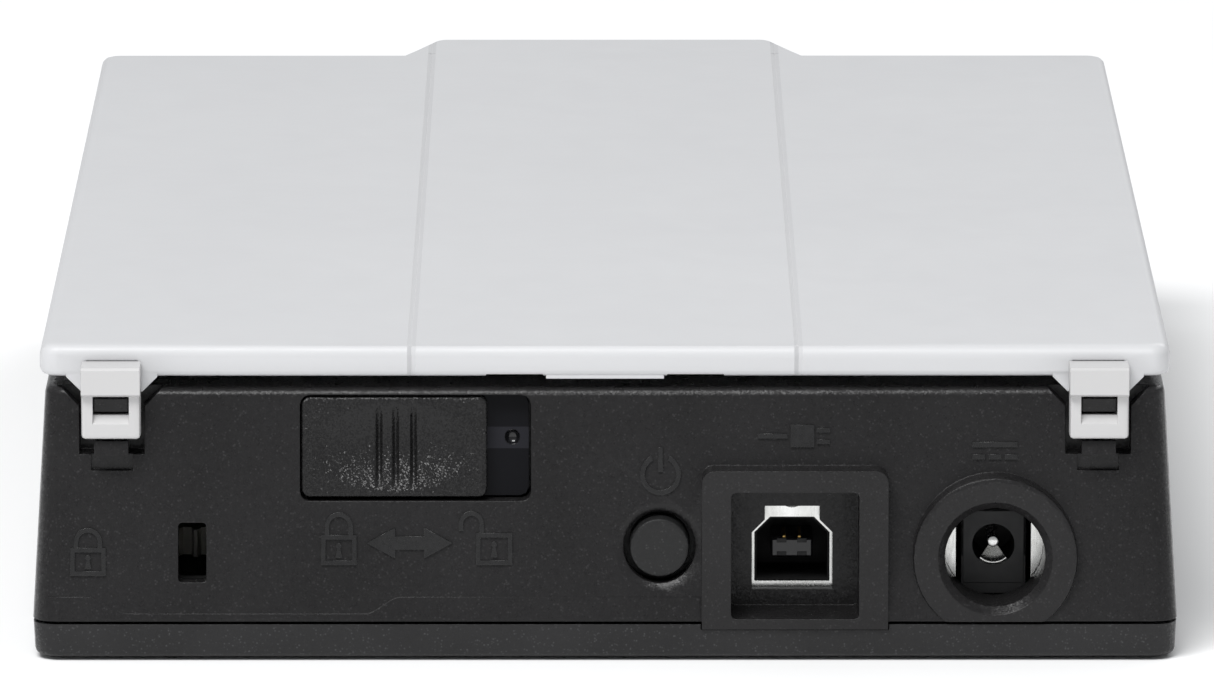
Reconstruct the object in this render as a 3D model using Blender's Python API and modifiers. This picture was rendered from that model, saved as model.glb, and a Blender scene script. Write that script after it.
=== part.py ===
"""Compact A6 flatbed scanner: hinged lid, two-part case, sensor carriage, belt drive and carriage lock.

The helpers below take millimetres and make the objects in metres, +Z up. X is the width, the user sits at
-Y, and the connectors and hinges are on the rear at +Y. The origin is at the bottom centre.
"""

import math

import bmesh
import bpy
from mathutils import Matrix, Vector

MM = 0.001
GAP = 0.3  # between pieces that touch on the real object
RUN = 0.08  # radial clearance of a shaft that turns or slides in its bore

# Case: a shallow bottom cover and an upper housing whose walls lean inwards.
SPLIT_Z = 5.2
COVER_Z = (0.45, 4.8)
RIM_Z = 34.5
BASE_HALF_X = 72.85
RIM_HALF_X = 71.25
REAR_Y = 116.7
REAR_RIM_Y = 111.6
WALL_LEAN = math.atan2(REAR_Y - REAR_RIM_Y, RIM_Z - SPLIT_Z)
FRONT_Y = -106.2
FRONT_RIM_Y = -104.4
FLOOR_Z = 2.8
DECK_Z = 30.5  # underside of the frame around the glass
BOSS_Y = 117.0  # front faces of the socket frames

# Lid
LID_BOTTOM = 36.0
LID_TOP = 40.0
LID_HALF_X = 71.9
LID_FRONT_Y = -104.3
LID_REAR_Y = 112.0
TAB_TIP_Y = -117.0
TAB_BASE_HALF_X = 29.0
TAB_TIP_HALF_X = 24.3
TAB_UPTURN = 0.15
CREASE_X = 24.6
CREASE_HALF = 0.9
CREASE_BOTTOM, CREASE_TOP = 39.86, 40.07

# Lid hinges: a square cross bar on each arm turns in a clip of the case.
HINGE_X = 62.7
HINGE_Y = 114.6
HINGE_Z = 30.2
BAR_HALF = 1.5
CLIP_INNER_R = 1.95
CLIP_OUTER_R = 3.8
CLIP_WIDTH = 4.35
ARM_WIDTH = 7.5
ARM_WINDOW = 4.6
HOOD_Z = (34.3, 38.1)

# Rear panel
LOCK_X = (9.4, 38.8)
LOCK_Z = (20.3, 33.6)
KNOB_X = (15.0, 38.6)
KNOB_Z = (20.75, 33.35)
LOCK_FLOOR_Y = 108.5
KNOB_SUNK = 0.1  # front and back of the slider, under the leaning wall
KNOB_DEPTH = 1.9
DETENT_SPOT = (11.8, 27.9)
GRIP_X = (24.3, 26.7, 28.8)
LOCK_SLOT = ((15.4, 23.6), (24.6, 27.4))
SLOT_X = (50.7, 54.3)
SLOT_Z = (10.1, 17.6)
POWER_X = -6.93
POWER_Z = 14.46
POWER_R = 3.83
POWER_HOLE_R = 4.6
POWER_DISH_R = 5.8
DISH_DEPTH = 0.7
USB_X = -23.9
USB_FRAME = ((-36.0, 4.2), (-12.3, 24.75))
USB_RECESS = ((-32.3, 5.55), (-16.0, 21.95))
FRAME_SEAM = 0.12  # between the frame and the notch of the bottom cover
DC_X = -49.6
DC_Z = 13.4
DC_BOSS_R = 10.5
DC_HOLE_R = 6.4
JACK_Z = 13.45
RECESS_Y = 108.5

# Front panel
START_X = -52.0
LIGHT_X = -42.0
START_Z = 19.0

# Scanning bed and sensor
GLASS_TOP = 34.1
GLASS_BOTTOM = 32.0
HOME_Y = 60.0  # centre of the sensor and its carriage at rest
SENSOR_HALF_X = 55.0
SENSOR_HALF_Y = 6.0
CARRIAGE_HALF_X = 61.0
CARRIAGE_HALF_Y = 9.0

# Drive
ROD_X = 30.0
ROD_Z = 13.0
ROD_R = 3.0
BELT_X = 52.0
DRIVE_Y = 86.0
IDLER_Y = -95.0
BELT_PITCH_R = 5.0
BELT_THICK = 1.0
BELT_Z = (4.5, 8.5)
CLAMP_HALF_X = 2.4
CLAMP_Y = (59.2, 67.2)  # stays clear of the idler pulley at the end of the travel
CLAMP_Z = (4.0, 11.7)
GEAR_MODULE = 0.8
GEAR_TEETH = 25
PINION_TEETH = 10
GEAR_Z = (9.9, 12.9)
AXLE_R = 1.5
MOTOR_X = BELT_X - GEAR_MODULE * (GEAR_TEETH + PINION_TEETH) / 2
MOTOR_R = 8.5
PLATE_Z = (13.5, 14.7)

# Main board
BOARD_TOP = 7.9
BOARD_BOTTOM = 6.3
BOARD_REAR_Y = 104.8

SCREW_SPOTS = ((65.5, 98.0), (-65.5, 98.0), (65.5, -94.0), (-65.5, -94.0))
FOOT_SPOTS = ((56.0, 88.0), (-56.0, 88.0), (56.0, -84.0), (-56.0, -84.0))
SCREW_HEAD_R = 2.6
SCREW_SHANK_R = 1.3
DRIVE_HALF = (1.6, 0.35)  # half sizes of one bar of the cross recess

# Where each moving body turns or slides, in millimetres.
JOINT_PLACES = {
    "lid": (0.0, HINGE_Y, HINGE_Z),
    "power_button": (POWER_X, 115.3, POWER_Z),
    "start_button": (START_X, -105.9, START_Z),
    "carriage_lock": (26.8, 111.0, 27.05),
    "carriage": (ROD_X, HOME_Y, ROD_Z),
    "sensor": (0.0, HOME_Y, 25.0),
    "drive_gear": (BELT_X, DRIVE_Y, 8.0),
    "motor_pinion": (MOTOR_X, DRIVE_Y, 11.0),
    "idler_pulley": (BELT_X, IDLER_Y, 6.5),
}

# Colour, roughness and metallic value of each material.
MATERIALS = {
    "white_plastic": ((0.72, 0.73, 0.75), 0.42, 0.0),
    "black_plastic": ((0.030, 0.029, 0.030), 0.55, 0.0),
    "black_gloss": ((0.018, 0.018, 0.019), 0.22, 0.0),
    "grey_plastic": ((0.25, 0.25, 0.26), 0.5, 0.0),
    "clear_glass": ((0.80, 0.88, 0.86), 0.05, 0.0),
    "rubber": ((0.05, 0.05, 0.05), 0.8, 0.0),
    "steel": ((0.60, 0.60, 0.61), 0.3, 1.0),
    "brass": ((0.75, 0.58, 0.30), 0.3, 1.0),
    "circuit_board": ((0.02, 0.16, 0.07), 0.45, 0.0),
    "white_sheet": ((0.85, 0.85, 0.84), 0.7, 0.0),
    "nylon": ((0.80, 0.78, 0.72), 0.45, 0.0),
    "belt_rubber": ((0.03, 0.03, 0.03), 0.7, 0.0),
}


# ---------------------------------------------------------------- scene helpers


def clear_scene():
    for obj in list(bpy.data.objects):
        bpy.data.objects.remove(obj)


def new_collection(name):
    collection = bpy.data.collections.new(name)
    bpy.context.scene.collection.children.link(collection)
    return collection


def make_materials():
    for name, (colour, roughness, metallic) in MATERIALS.items():
        material = bpy.data.materials.new(name)
        material.use_nodes = True
        shader = material.node_tree.nodes["Principled BSDF"]
        shader.inputs["Base Color"].default_value = (*colour, 1.0)
        shader.inputs["Roughness"].default_value = roughness
        shader.inputs["Metallic"].default_value = metallic


def add_joint_empties():
    for body, place in JOINT_PLACES.items():
        empty = bpy.data.objects.new(body + "_joint", None)
        empty.location = Vector(place) * MM
        PARTS.objects.link(empty)
        BODIES[body] = empty


def add_object(name, mesh, centre, material=None, body=None):
    """Link a mesh whose vertices are in metres about centre, which is in millimetres."""
    obj = bpy.data.objects.new(name, mesh)
    obj.location = Vector(centre) * MM
    if body:
        obj.parent = BODIES[body]
        obj.location -= BODIES[body].location
    if material:
        mesh.materials.append(bpy.data.materials[material])
    PARTS.objects.link(obj)
    return obj


def mesh_of(name, bm):
    mesh = bpy.data.meshes.new(name)
    bm.to_mesh(mesh)
    bm.free()
    return mesh


def turn_to(axis):
    """Matrix that lays a shape drawn in XY, with its depth along Z, so that its depth runs along axis.

    Along Y the drawing is in XZ, and along X it is in YZ.
    """
    return {
        "Z": Matrix.Identity(4),
        "Y": Matrix.Rotation(math.radians(90), 4, "X"),
        "X": Matrix(((0, 0, 1, 0), (1, 0, 0, 0), (0, 1, 0, 0), (0, 0, 0, 1))),
    }[axis]


def smooth(obj, angle=35):
    obj.data.shade_smooth()
    obj.data.set_sharp_from_angle(angle=math.radians(angle))
    return obj


# ---------------------------------------------------------------- shapes


def box(name, low, high, material=None, body=None, bevel=0.0, segments=2):
    low, high = Vector(low), Vector(high)
    bm = bmesh.new()
    bmesh.ops.create_cube(bm, size=1.0)
    bmesh.ops.scale(bm, vec=(high - low) * MM, verts=bm.verts)
    if bevel:
        bmesh.ops.bevel(bm, geom=bm.edges[:], offset=bevel * MM, segments=segments, affect="EDGES", profile=0.5)
    return add_object(name, mesh_of(name, bm), (low + high) / 2, material, body)


def cylinder(name, start, end, radius, material=None, body=None, sides=24, end_radius=None):
    """A cylinder or cone between two points that differ along one axis only."""
    start, end = Vector(start), Vector(end)
    run = end - start
    bm = bmesh.new()
    last = radius if end_radius is None else end_radius
    bmesh.ops.create_cone(
        bm, cap_ends=True, segments=sides, radius1=radius * MM, radius2=last * MM, depth=run.length * MM
    )
    turn = Vector((0, 0, 1)).rotation_difference(run).to_matrix().to_4x4()
    bmesh.ops.transform(bm, matrix=turn, verts=bm.verts)
    return smooth(add_object(name, mesh_of(name, bm), (start + end) / 2, material, body))


def prism(name, outline, axis, start, end, material=None, body=None):
    """A flat outline with a thickness: drawn in XY along Z, in XZ along Y, or in YZ along X."""
    middle_u = sum(u for u, _ in outline) / len(outline)
    middle_v = sum(v for _, v in outline) / len(outline)
    curve = bpy.data.curves.new(name, "CURVE")
    curve.dimensions = "2D"
    curve.fill_mode = "BOTH"
    curve.extrude = (end - start) / 2 * MM
    spline = curve.splines.new("POLY")
    spline.points.add(len(outline) - 1)
    for point, (u, v) in zip(spline.points, outline):
        point.co = ((u - middle_u) * MM, (v - middle_v) * MM, 0.0, 1.0)
    spline.use_cyclic_u = True
    source = bpy.data.objects.new(name + "_outline", curve)
    CUTTERS.objects.link(source)
    graph = bpy.context.evaluated_depsgraph_get()
    mesh = bpy.data.meshes.new_from_object(source.evaluated_get(graph))
    bpy.data.objects.remove(source)
    bm = bmesh.new()
    bm.from_mesh(mesh)
    bmesh.ops.remove_doubles(bm, verts=bm.verts, dist=0.00001)
    bmesh.ops.dissolve_limit(bm, angle_limit=0.002, verts=bm.verts, edges=bm.edges)
    bmesh.ops.transform(bm, matrix=turn_to(axis), verts=bm.verts)
    bmesh.ops.recalc_face_normals(bm, faces=bm.faces)
    depth = (start + end) / 2
    centre = {
        "Z": (middle_u, middle_v, depth),
        "Y": (middle_u, depth, middle_v),
        "X": (depth, middle_u, middle_v),
    }[axis]
    return add_object(name, mesh_of(name, bm), centre, material, body)


def tapered_box(name, low, high, z_from, z_to, corner):
    """A box with unlike bottom and top rectangles, low and high being (x half, y front, y rear)."""
    bm = bmesh.new()
    bmesh.ops.create_cube(bm, size=2.0)
    for vert in bm.verts:
        half_x, front, rear = high if vert.co.z > 0 else low
        y = rear if vert.co.y > 0 else front
        vert.co = Vector((half_x * vert.co.x, y, z_to if vert.co.z > 0 else z_from)) * MM
    upright = [e for e in bm.edges if abs(e.verts[0].co.z - e.verts[1].co.z) > MM]
    bmesh.ops.bevel(bm, geom=upright, offset=corner * MM, segments=4, affect="EDGES", profile=0.5)
    return add_object(name, mesh_of(name, bm), (0, 0, 0))


def turned(name, profile, place, material, body, steps=24):
    """A closed profile of (radius, height) turned about the vertical axis through place."""
    bm = bmesh.new()
    verts = [bm.verts.new((r * MM, 0.0, z * MM)) for r, z in profile]
    for a, b in zip(verts, verts[1:] + verts[:1]):
        bm.edges.new((a, b))
    obj = add_object(name, mesh_of(name, bm), place, material, body)
    screw = obj.modifiers.new("turn", "SCREW")
    screw.steps = steps
    screw.render_steps = steps
    screw.use_merge_vertices = True
    screw.merge_threshold = 0.00001
    return obj


def round_edges(obj, chosen, width, segments=3):
    """Round the edges whose two ends both satisfy chosen, which gets a point in millimetres."""
    place = obj.location + (obj.parent.location if obj.parent else Vector())
    bm = bmesh.new()
    bm.from_mesh(obj.data)
    edges = [e for e in bm.edges if all(chosen((v.co + place) / MM) for v in e.verts)]
    bmesh.ops.bevel(bm, geom=edges, offset=width * MM, segments=segments, affect="EDGES", profile=0.5)
    bm.to_mesh(obj.data)
    bm.free()


def rounded(low, high, radius, steps=4):
    """Outline of a rectangle with round corners."""
    centres = (
        (high[0] - radius, high[1] - radius, 0),
        (low[0] + radius, high[1] - radius, 90),
        (low[0] + radius, low[1] + radius, 180),
        (high[0] - radius, low[1] + radius, 270),
    )
    return [p for u, v, turn in centres for p in arc((u, v), radius, turn, turn + 90, steps)]


def arc(centre, radius, from_deg, to_deg, steps):
    points = []
    for step in range(steps + 1):
        angle = math.radians(from_deg + (to_deg - from_deg) * step / steps)
        points.append((centre[0] + radius * math.cos(angle), centre[1] + radius * math.sin(angle)))
    return points


def rectangle(low, high):
    return [low, (high[0], low[1]), high, (low[0], high[1])]


def use_in(target, tool, operation):
    modifier = target.modifiers.new(tool.name, "BOOLEAN")
    modifier.operation = operation
    modifier.solver = "EXACT"
    modifier.object = tool
    PARTS.objects.unlink(tool)
    CUTTERS.objects.link(tool)
    tool.hide_render = True
    tool.display_type = "WIRE"


def cut(target, tool):
    use_in(target, tool, "DIFFERENCE")


def fuse(target, tool):
    use_in(target, tool, "UNION")


def coil(name, start, axis, length, radius, turns, wire, material, body=None):
    """An open compression spring from start along an axis."""
    per_turn = 8
    count = turns * per_turn
    curve = bpy.data.curves.new(name, "CURVE")
    curve.dimensions = "3D"
    curve.bevel_depth = wire / 2 * MM
    curve.bevel_resolution = 1
    curve.use_fill_caps = True
    spline = curve.splines.new("POLY")
    spline.points.add(count)
    for step, point in enumerate(spline.points):
        angle = 2 * math.pi * step / per_turn
        along = wire / 2 + (length - wire) * step / count
        local = Vector((radius * math.cos(angle), radius * math.sin(angle), along)) * MM
        point.co = (*(turn_to(axis) @ local), 1.0)
    obj = bpy.data.objects.new(name, curve)
    curve.materials.append(bpy.data.materials[material])
    obj.location = Vector(start) * MM
    if body:
        obj.parent = BODIES[body]
        obj.location -= BODIES[body].location
    PARTS.objects.link(obj)
    return obj


def rear_face(z):
    """Y of the leaning rear wall's outer face at a height."""
    return REAR_Y + (REAR_RIM_Y - REAR_Y) * (z - SPLIT_Z) / (RIM_Z - SPLIT_Z)


def both_sides():
    return (("left", 1), ("right", -1))


# ---------------------------------------------------------------- case


def add_bottom_cover():
    tray = tapered_box("bottom_cover", (72.6, -105.9, 116.4), (72.8, -106.1, 116.6), COVER_Z[0], COVER_Z[1], 3.0)
    tray.data.materials.append(bpy.data.materials["black_plastic"])
    round_edges(tray, lambda p: p.z < COVER_Z[0] + 0.1, 0.8)
    cut(tray, box("tray_hollow", (-70.2, -103.8, FLOOR_Z), (70.2, 114.3, 9.0), bevel=1.0, segments=1))
    notch_low, notch_high = USB_FRAME
    notch_from = (notch_low[0] - FRAME_SEAM, 106.6, notch_low[1] - FRAME_SEAM)
    cut(tray, box("usb_notch", notch_from, (notch_high[0] + FRAME_SEAM, 120, 9)))
    for i, (x, y) in enumerate(SCREW_SPOTS):
        fuse(tray, cylinder(f"screw_post_{i}", (x, y, 2.0), (x, y, 7.7), 3.4, sides=16))
        cut(tray, cylinder(f"screw_way_{i}", (x, y, 0.0), (x, y, 9.0), 1.7, sides=12))
        cut(tray, cylinder(f"head_way_{i}", (x, y, 0.0), (x, y, 3.9), 2.9, sides=16))
    for i, (x, y) in enumerate(FOOT_SPOTS):
        cut(tray, cylinder(f"foot_seat_{i}", (x, y, 0.0), (x, y, 1.5), 6.3, sides=20))
    posts = ((31.5, 77.5, 13.2), (31.5, 92.0, 13.2), (60.4, 74.9, 13.2))
    for i, (x, y, top) in enumerate(posts):
        fuse(tray, cylinder(f"plate_post_{i}", (x, y, 2.0), (x, y, top), 2.1, sides=12))
    for i, (x, y) in enumerate(((-57.0, 76.8), (12.5, 103.0), (-57.0, 103.0), (12.5, 76.8))):
        fuse(tray, cylinder(f"board_post_{i}", (x, y, 2.0), (x, y, BOARD_BOTTOM - GAP), 2.1, sides=12))
    fuse(tray, box("glide_rail", (-60.0, -97.0, 2.0), (-57.0, 72.5, 9.5)))
    fuse(tray, box("spring_stop", (50.0, -75.6, 2.0), (54.0, -73.6, 8.0)))


def add_upper_housing():
    shell = tapered_box(
        "upper_housing",
        (BASE_HALF_X, FRONT_Y, REAR_Y),
        (RIM_HALF_X, FRONT_RIM_Y, REAR_RIM_Y),
        SPLIT_Z,
        RIM_Z,
        3.0,
    )
    shell.data.materials.append(bpy.data.materials["black_plastic"])
    round_edges(shell, lambda p: p.z > RIM_Z - 0.1, 1.0)
    cut(shell, tapered_box("case_hollow", (70.6, -104.3, 114.7), (69.4, -102.7, 110.2), 3.2, DECK_Z, 1.5))
    cut_scanning_window(shell)
    add_screw_bosses(shell)
    add_power_hole(shell)
    add_usb_frame(shell)
    add_dc_boss(shell)
    add_lock_recess(shell)
    cut(shell, prism("slot_cut", security_outline(0.0), "Y", 108.0, 120.0))
    for side, sign in both_sides():
        add_hinge_clip(shell, side, sign * HINGE_X)
    cut(shell, cylinder("start_hole", (START_X, -108, START_Z), (START_X, -101, START_Z), 3.3, sides=24))
    cut(shell, cylinder("light_hole", (LIGHT_X, -108, START_Z), (LIGHT_X, -101, START_Z), 1.3, sides=16))
    smooth(shell, 30)


def cut_scanning_window(shell):
    cut(shell, box("glass_seat", (-59.5, -98.8, GLASS_BOTTOM - GAP), (59.5, 70.8, 36.0)))
    cut(shell, box("scan_window", (-57.0, -95.5, 29.0), (57.0, 67.5, 33.0)))


def add_screw_bosses(shell):
    for i, (x, y) in enumerate(SCREW_SPOTS):
        fuse(shell, cylinder(f"screw_boss_{i}", (x, y, 8.0), (x, y, 31.5), 3.0, sides=16))
        cut(shell, cylinder(f"pilot_hole_{i}", (x, y, 7.0), (x, y, 20.0), 1.6, sides=12))


def add_power_hole(shell):
    hole = cylinder("power_hole", (POWER_X, 108, POWER_Z), (POWER_X, 120, POWER_Z), POWER_HOLE_R, sides=28)
    cut(shell, hole)
    face = rear_face(POWER_Z)
    dish_from, dish_to = (POWER_X, face - DISH_DEPTH, POWER_Z), (POWER_X, face + DISH_DEPTH, POWER_Z)
    dish_end = 2 * POWER_DISH_R - POWER_HOLE_R
    dish = cylinder("power_dish", dish_from, dish_to, POWER_HOLE_R, sides=28, end_radius=dish_end)
    dish.data.transform(Matrix.Rotation(WALL_LEAN, 4, "X"))
    cut(shell, dish)


def usb_outline(half_width, bottom, top, chamfer):
    """Outline of the USB socket: square below, with its two upper corners cut off."""
    return [
        (USB_X - half_width, bottom),
        (USB_X + half_width, bottom),
        (USB_X + half_width, top - chamfer),
        (USB_X + half_width - chamfer, top),
        (USB_X - half_width + chamfer, top),
        (USB_X - half_width, top - chamfer),
    ]


def add_usb_frame(shell):
    (left, bottom), (right, top) = USB_FRAME
    radius = 1.5
    upper_right = arc((right - radius, top - radius), radius, 0, 90, 4)
    upper_left = arc((left + radius, top - radius), radius, 90, 180, 4)
    outline = [(left, bottom), (right, bottom), *upper_right, *upper_left]
    fuse(shell, prism("usb_frame", outline, "Y", 107.0, BOSS_Y))
    cut(shell, prism("usb_recess", rounded(*USB_RECESS, 0.6, 2), "Y", RECESS_Y, 120.0))
    cut(shell, prism("usb_cutout", usb_outline(5.15, 7.65, 17.2, 2.15), "Y", 104.0, 110.0))
    cut(shell, box("usb_neck", (USB_X - 3.5, 104.0, 15.0), (USB_X + 3.5, 110.0, 18.5)))


def add_dc_boss(shell):
    boss = cylinder("dc_boss", (DC_X, 108.9, DC_Z), (DC_X, BOSS_Y, DC_Z), DC_BOSS_R, sides=40)
    round_edges(boss, lambda p: p.y > BOSS_Y - 0.1, 0.5, 2)
    cut(boss, box("dc_boss_flat", (DC_X - 15, 100, -5), (DC_X + 15, 120, SPLIT_Z)))
    fuse(shell, boss)
    cut(shell, cylinder("dc_hole", (DC_X, 105, DC_Z), (DC_X, 120, DC_Z), DC_HOLE_R, sides=32))
    mouth = cylinder("dc_mouth", (DC_X, 116.0, DC_Z), (DC_X, 118.0, DC_Z), DC_HOLE_R, sides=32, end_radius=8.3)
    cut(shell, mouth)


def add_lock_recess(shell):
    low_z, high_z = LOCK_Z[0] - 2, 31.0
    pocket = [
        (LOCK_FLOOR_Y - 1.9, low_z),
        (rear_face(low_z) - 0.8, low_z),
        (rear_face(high_z) - 0.8, high_z),
        (LOCK_FLOOR_Y - 1.9, high_z),
    ]
    fuse(shell, prism("lock_pocket", pocket, "X", LOCK_X[0] - 2, LOCK_X[1] + 2))
    outline = rounded((LOCK_X[0], LOCK_Z[0]), (LOCK_X[1], LOCK_Z[1]), 1.2, 3)
    cut(shell, prism("lock_recess", outline, "Y", LOCK_FLOOR_Y, 120.0))
    cut(shell, prism("lock_slot", rectangle(*LOCK_SLOT), "Y", 103.0, LOCK_FLOOR_Y + 1.0))


def security_outline(grow):
    """Outline of the security slot, with small rounded corners."""
    low = (SLOT_X[0] - grow, SLOT_Z[0] - grow)
    high = (SLOT_X[1] + grow, SLOT_Z[1] + grow)
    return rounded(low, high, 0.5 + grow, 3)


def add_hinge_clip(shell, side, x):
    """The notch that the hinge arm swings in, and the open ring that holds its cross bar."""
    outer = x + math.copysign(7.5, x)
    inner = x - math.copysign(6.5, x)
    block = box(f"{side}_notch_block", (min(inner, outer), 107.5, 24.1), (max(inner, outer), 111.3, 31.5))
    fuse(shell, block)
    notch = [(-4.15, 26.2), (4.15, 26.2), (4.15, 32.2), (7.95, 36.0), (-7.95, 36.0), (-4.15, 32.2)]
    cut(shell, prism(f"{side}_notch", [(x + u, z) for u, z in notch], "Y", 109.5, 120.0))
    cut(shell, box(f"{side}_step", (x - 2.65, 112.6, 24.15), (x + 2.65, 120.0, 26.7)))
    middle = (HINGE_Y, HINGE_Z)
    ring = arc(middle, CLIP_OUTER_R, 75, 285, 12) + arc(middle, CLIP_INNER_R, 285, 75, 12)
    low_x, high_x = x - CLIP_WIDTH / 2, x + CLIP_WIDTH / 2
    clip = prism(f"{side}_clip", ring, "X", low_x, high_x)
    fuse(clip, box(f"{side}_clip_stem", (low_x + 0.2, 109.0, HINGE_Z - 1.2), (high_x - 0.2, 111.7, HINGE_Z + 1.4)))
    fuse(shell, clip)


def add_glass():
    box("platen_glass", (-59.2, -98.5, GLASS_BOTTOM), (59.2, 70.5, GLASS_TOP), "clear_glass")
    box("calibration_strip", (-56.5, 65.0, 31.3), (-55.2, 67.2, 31.7), "white_sheet")


def add_feet_and_screws():
    for i, (x, y) in enumerate(FOOT_SPOTS, 1):
        foot = cylinder(f"rubber_foot_{i}", (x, y, 0.0), (x, y, 1.2), 6.0, "rubber", sides=24)
        round_edges(foot, lambda p: p.z < 0.1, 0.3, 1)
    for i, (x, y) in enumerate(SCREW_SPOTS, 1):
        screw = cylinder(f"case_screw_{i}", (x, y, 2.0), (x, y, 3.6), SCREW_HEAD_R, "steel", sides=20)
        fuse(screw, cylinder(f"shank_{i}", (x, y, 3.0), (x, y, 16.5), SCREW_SHANK_R, sides=16))
        for name, half_x, half_y in (("drive", *DRIVE_HALF), ("cross", *DRIVE_HALF[::-1])):
            slot_low, slot_high = (x - half_x, y - half_y, 1.0), (x + half_x, y + half_y, 2.7)
            cut(screw, box(f"{name}_slot_{i}", slot_low, slot_high))


# ---------------------------------------------------------------- rear panel pieces


def add_power_button():
    button = cylinder(
        "power_button", (POWER_X, 107.3, POWER_Z), (POWER_X, 115.3, POWER_Z), POWER_R, "black_gloss", "power_button"
    )
    round_edges(button, lambda p: p.y > 115.2, 0.5, 2)
    flange = cylinder("power_flange", (POWER_X, 109.9, POWER_Z), (POWER_X, 111.0, POWER_Z), 4.95)
    fuse(button, flange)


def add_power_switch():
    switch = box("power_switch", (POWER_X - 3, 99.5, BOARD_TOP + GAP), (POWER_X + 3, 104.6, 17.5), "black_plastic")
    fuse(switch, cylinder("plunger", (POWER_X, 104.0, POWER_Z), (POWER_X, 106.2, POWER_Z), 1.3, sides=16))


def add_usb_socket():
    shell = box(
        "usb_shell", (USB_X - 6.0, 90.8, BOARD_TOP + GAP), (USB_X + 6.0, 106.7, 18.6), "steel", bevel=0.2, segments=1
    )
    lip_low = (USB_X - 5.9, BOARD_REAR_Y + GAP, 6.7)
    fuse(shell, box("usb_lip", lip_low, (USB_X + 5.9, 106.7, 9.5)))
    cut(shell, prism("usb_mouth", usb_outline(4.8, 8.35, 16.7, 2.0), "Y", 96.5, 110.0))
    cut(shell, cylinder("usb_dimple", (USB_X, 106.3, 19.75), (USB_X, 108.0, 19.75), 1.8, sides=28))
    box("usb_tongue", (USB_X - 2.7, 96.8, 11.1), (USB_X + 2.7, 105.2, 13.6), "black_gloss", bevel=0.25, segments=1)


def add_dc_jack():
    body = box(
        "dc_jack_body", (DC_X - 4.15, 95.0, BOARD_TOP + GAP), (DC_X + 4.15, RECESS_Y, 18.1), "black_plastic",
        bevel=0.3, segments=1,
    )
    fuse(body, box("jack_flange", (DC_X - 4.1, 106.8, 7.1), (DC_X + 4.1, RECESS_Y - 0.05, 12.0)))
    hole_from, hole_to = (DC_X, 99.0, JACK_Z), (DC_X, 110.0, JACK_Z)
    cut(body, cylinder("jack_hole", hole_from, hole_to, 2.7, sides=28))
    pin_from, pin_to = (DC_X, 99.3, JACK_Z), (DC_X, 106.9, JACK_Z)
    pin = cylinder("dc_jack_pin", pin_from, pin_to, 0.8, "brass", sides=16)
    round_edges(pin, lambda p: p.y > 106.8, 0.3, 2)
    shield = box("jack_shield", (DC_X - 8.4, 107.4, 5.9), (DC_X + 8.4, 108.2, 20.0), "steel")
    cut(shield, box("shield_gap", (DC_X - 4.8, 106.0, 6.8), (DC_X + 4.8, 110.0, 18.4)))


def add_security_plate():
    plate = box("security_slot_plate", (46.0, 110.5, 8.0), (59.0, 111.5, 20.5), "steel")
    cut(plate, prism("plate_slot", security_outline(0.2), "Y", 109.0, 113.0))


def add_lock():
    low, high = (LOCK_X[0] + GAP, LOCK_Z[0] + GAP), (LOCK_X[1] - GAP, LOCK_Z[1] - GAP)
    outline = rounded(low, high, 1.1, 2)
    plate_back = LOCK_FLOOR_Y + GAP
    plate = prism("lock_track_plate", outline, "Y", plate_back, plate_back + 1.5, "black_gloss")
    lean(plate, KNOB_DEPTH + GAP)
    cut(plate, prism("track_slot", rectangle(*LOCK_SLOT), "Y", plate_back - 1.0, REAR_Y))
    detent_y = rear_face(DETENT_SPOT[1]) - KNOB_DEPTH - GAP
    detent_from, detent_to = ((DETENT_SPOT[0], y, DETENT_SPOT[1]) for y in (detent_y - 1.0, detent_y + 2.0))
    cut(plate, cylinder("lock_detent", detent_from, detent_to, 1.0, sides=16))
    outline = rounded((KNOB_X[0], KNOB_Z[0]), (KNOB_X[1], KNOB_Z[1]), 1.1, 2)
    knob = prism("lock_slider", outline, "Y", 110.6, 112.6, "black_plastic", "carriage_lock")
    lean(knob, KNOB_SUNK, KNOB_DEPTH)
    round_edges(knob, lambda p: p.y > rear_face(p.z) - KNOB_DEPTH / 2, 0.45, 2)
    middle_x = sum(KNOB_X) / 2
    middle_z = sum(KNOB_Z) / 2
    face = rear_face(middle_z) - KNOB_SUNK
    cut(knob, ellipsoid("thumb_dish", (middle_x, face, middle_z), (10.6, 1.1, 5.4), WALL_LEAN, 20, 10))
    for i, x in enumerate(GRIP_X):
        cut(knob, ellipsoid(f"grip_groove_{i}", (x, face - 0.7, middle_z), (0.45, 0.8, 5.2), WALL_LEAN, 8, 6))
    fuse(knob, box("lock_arm", (21.0, 72.0, 24.0), (24.2, 111.6, 27.0)))


def lean(obj, front, back=None):
    """Move the front face, and the back if given, to its depth under the leaning rear wall."""
    place = obj.location + (obj.parent.location if obj.parent else Vector())
    for vert in obj.data.vertices:
        depth = front if vert.co.y > 0 else back
        if depth is not None:
            vert.co.y = (rear_face((vert.co + place).z / MM) - depth) * MM - place.y


def ellipsoid(name, centre, radii, tilt, around, rings):
    """An ellipsoid tilted about the X axis."""
    bm = bmesh.new()
    bmesh.ops.create_uvsphere(bm, u_segments=around, v_segments=rings, radius=1.0)
    bmesh.ops.scale(bm, vec=Vector(radii) * MM, verts=bm.verts)
    bmesh.ops.transform(bm, matrix=Matrix.Rotation(tilt, 4, "X"), verts=bm.verts)
    return add_object(name, mesh_of(name, bm), centre)


# ---------------------------------------------------------------- front panel pieces


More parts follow.
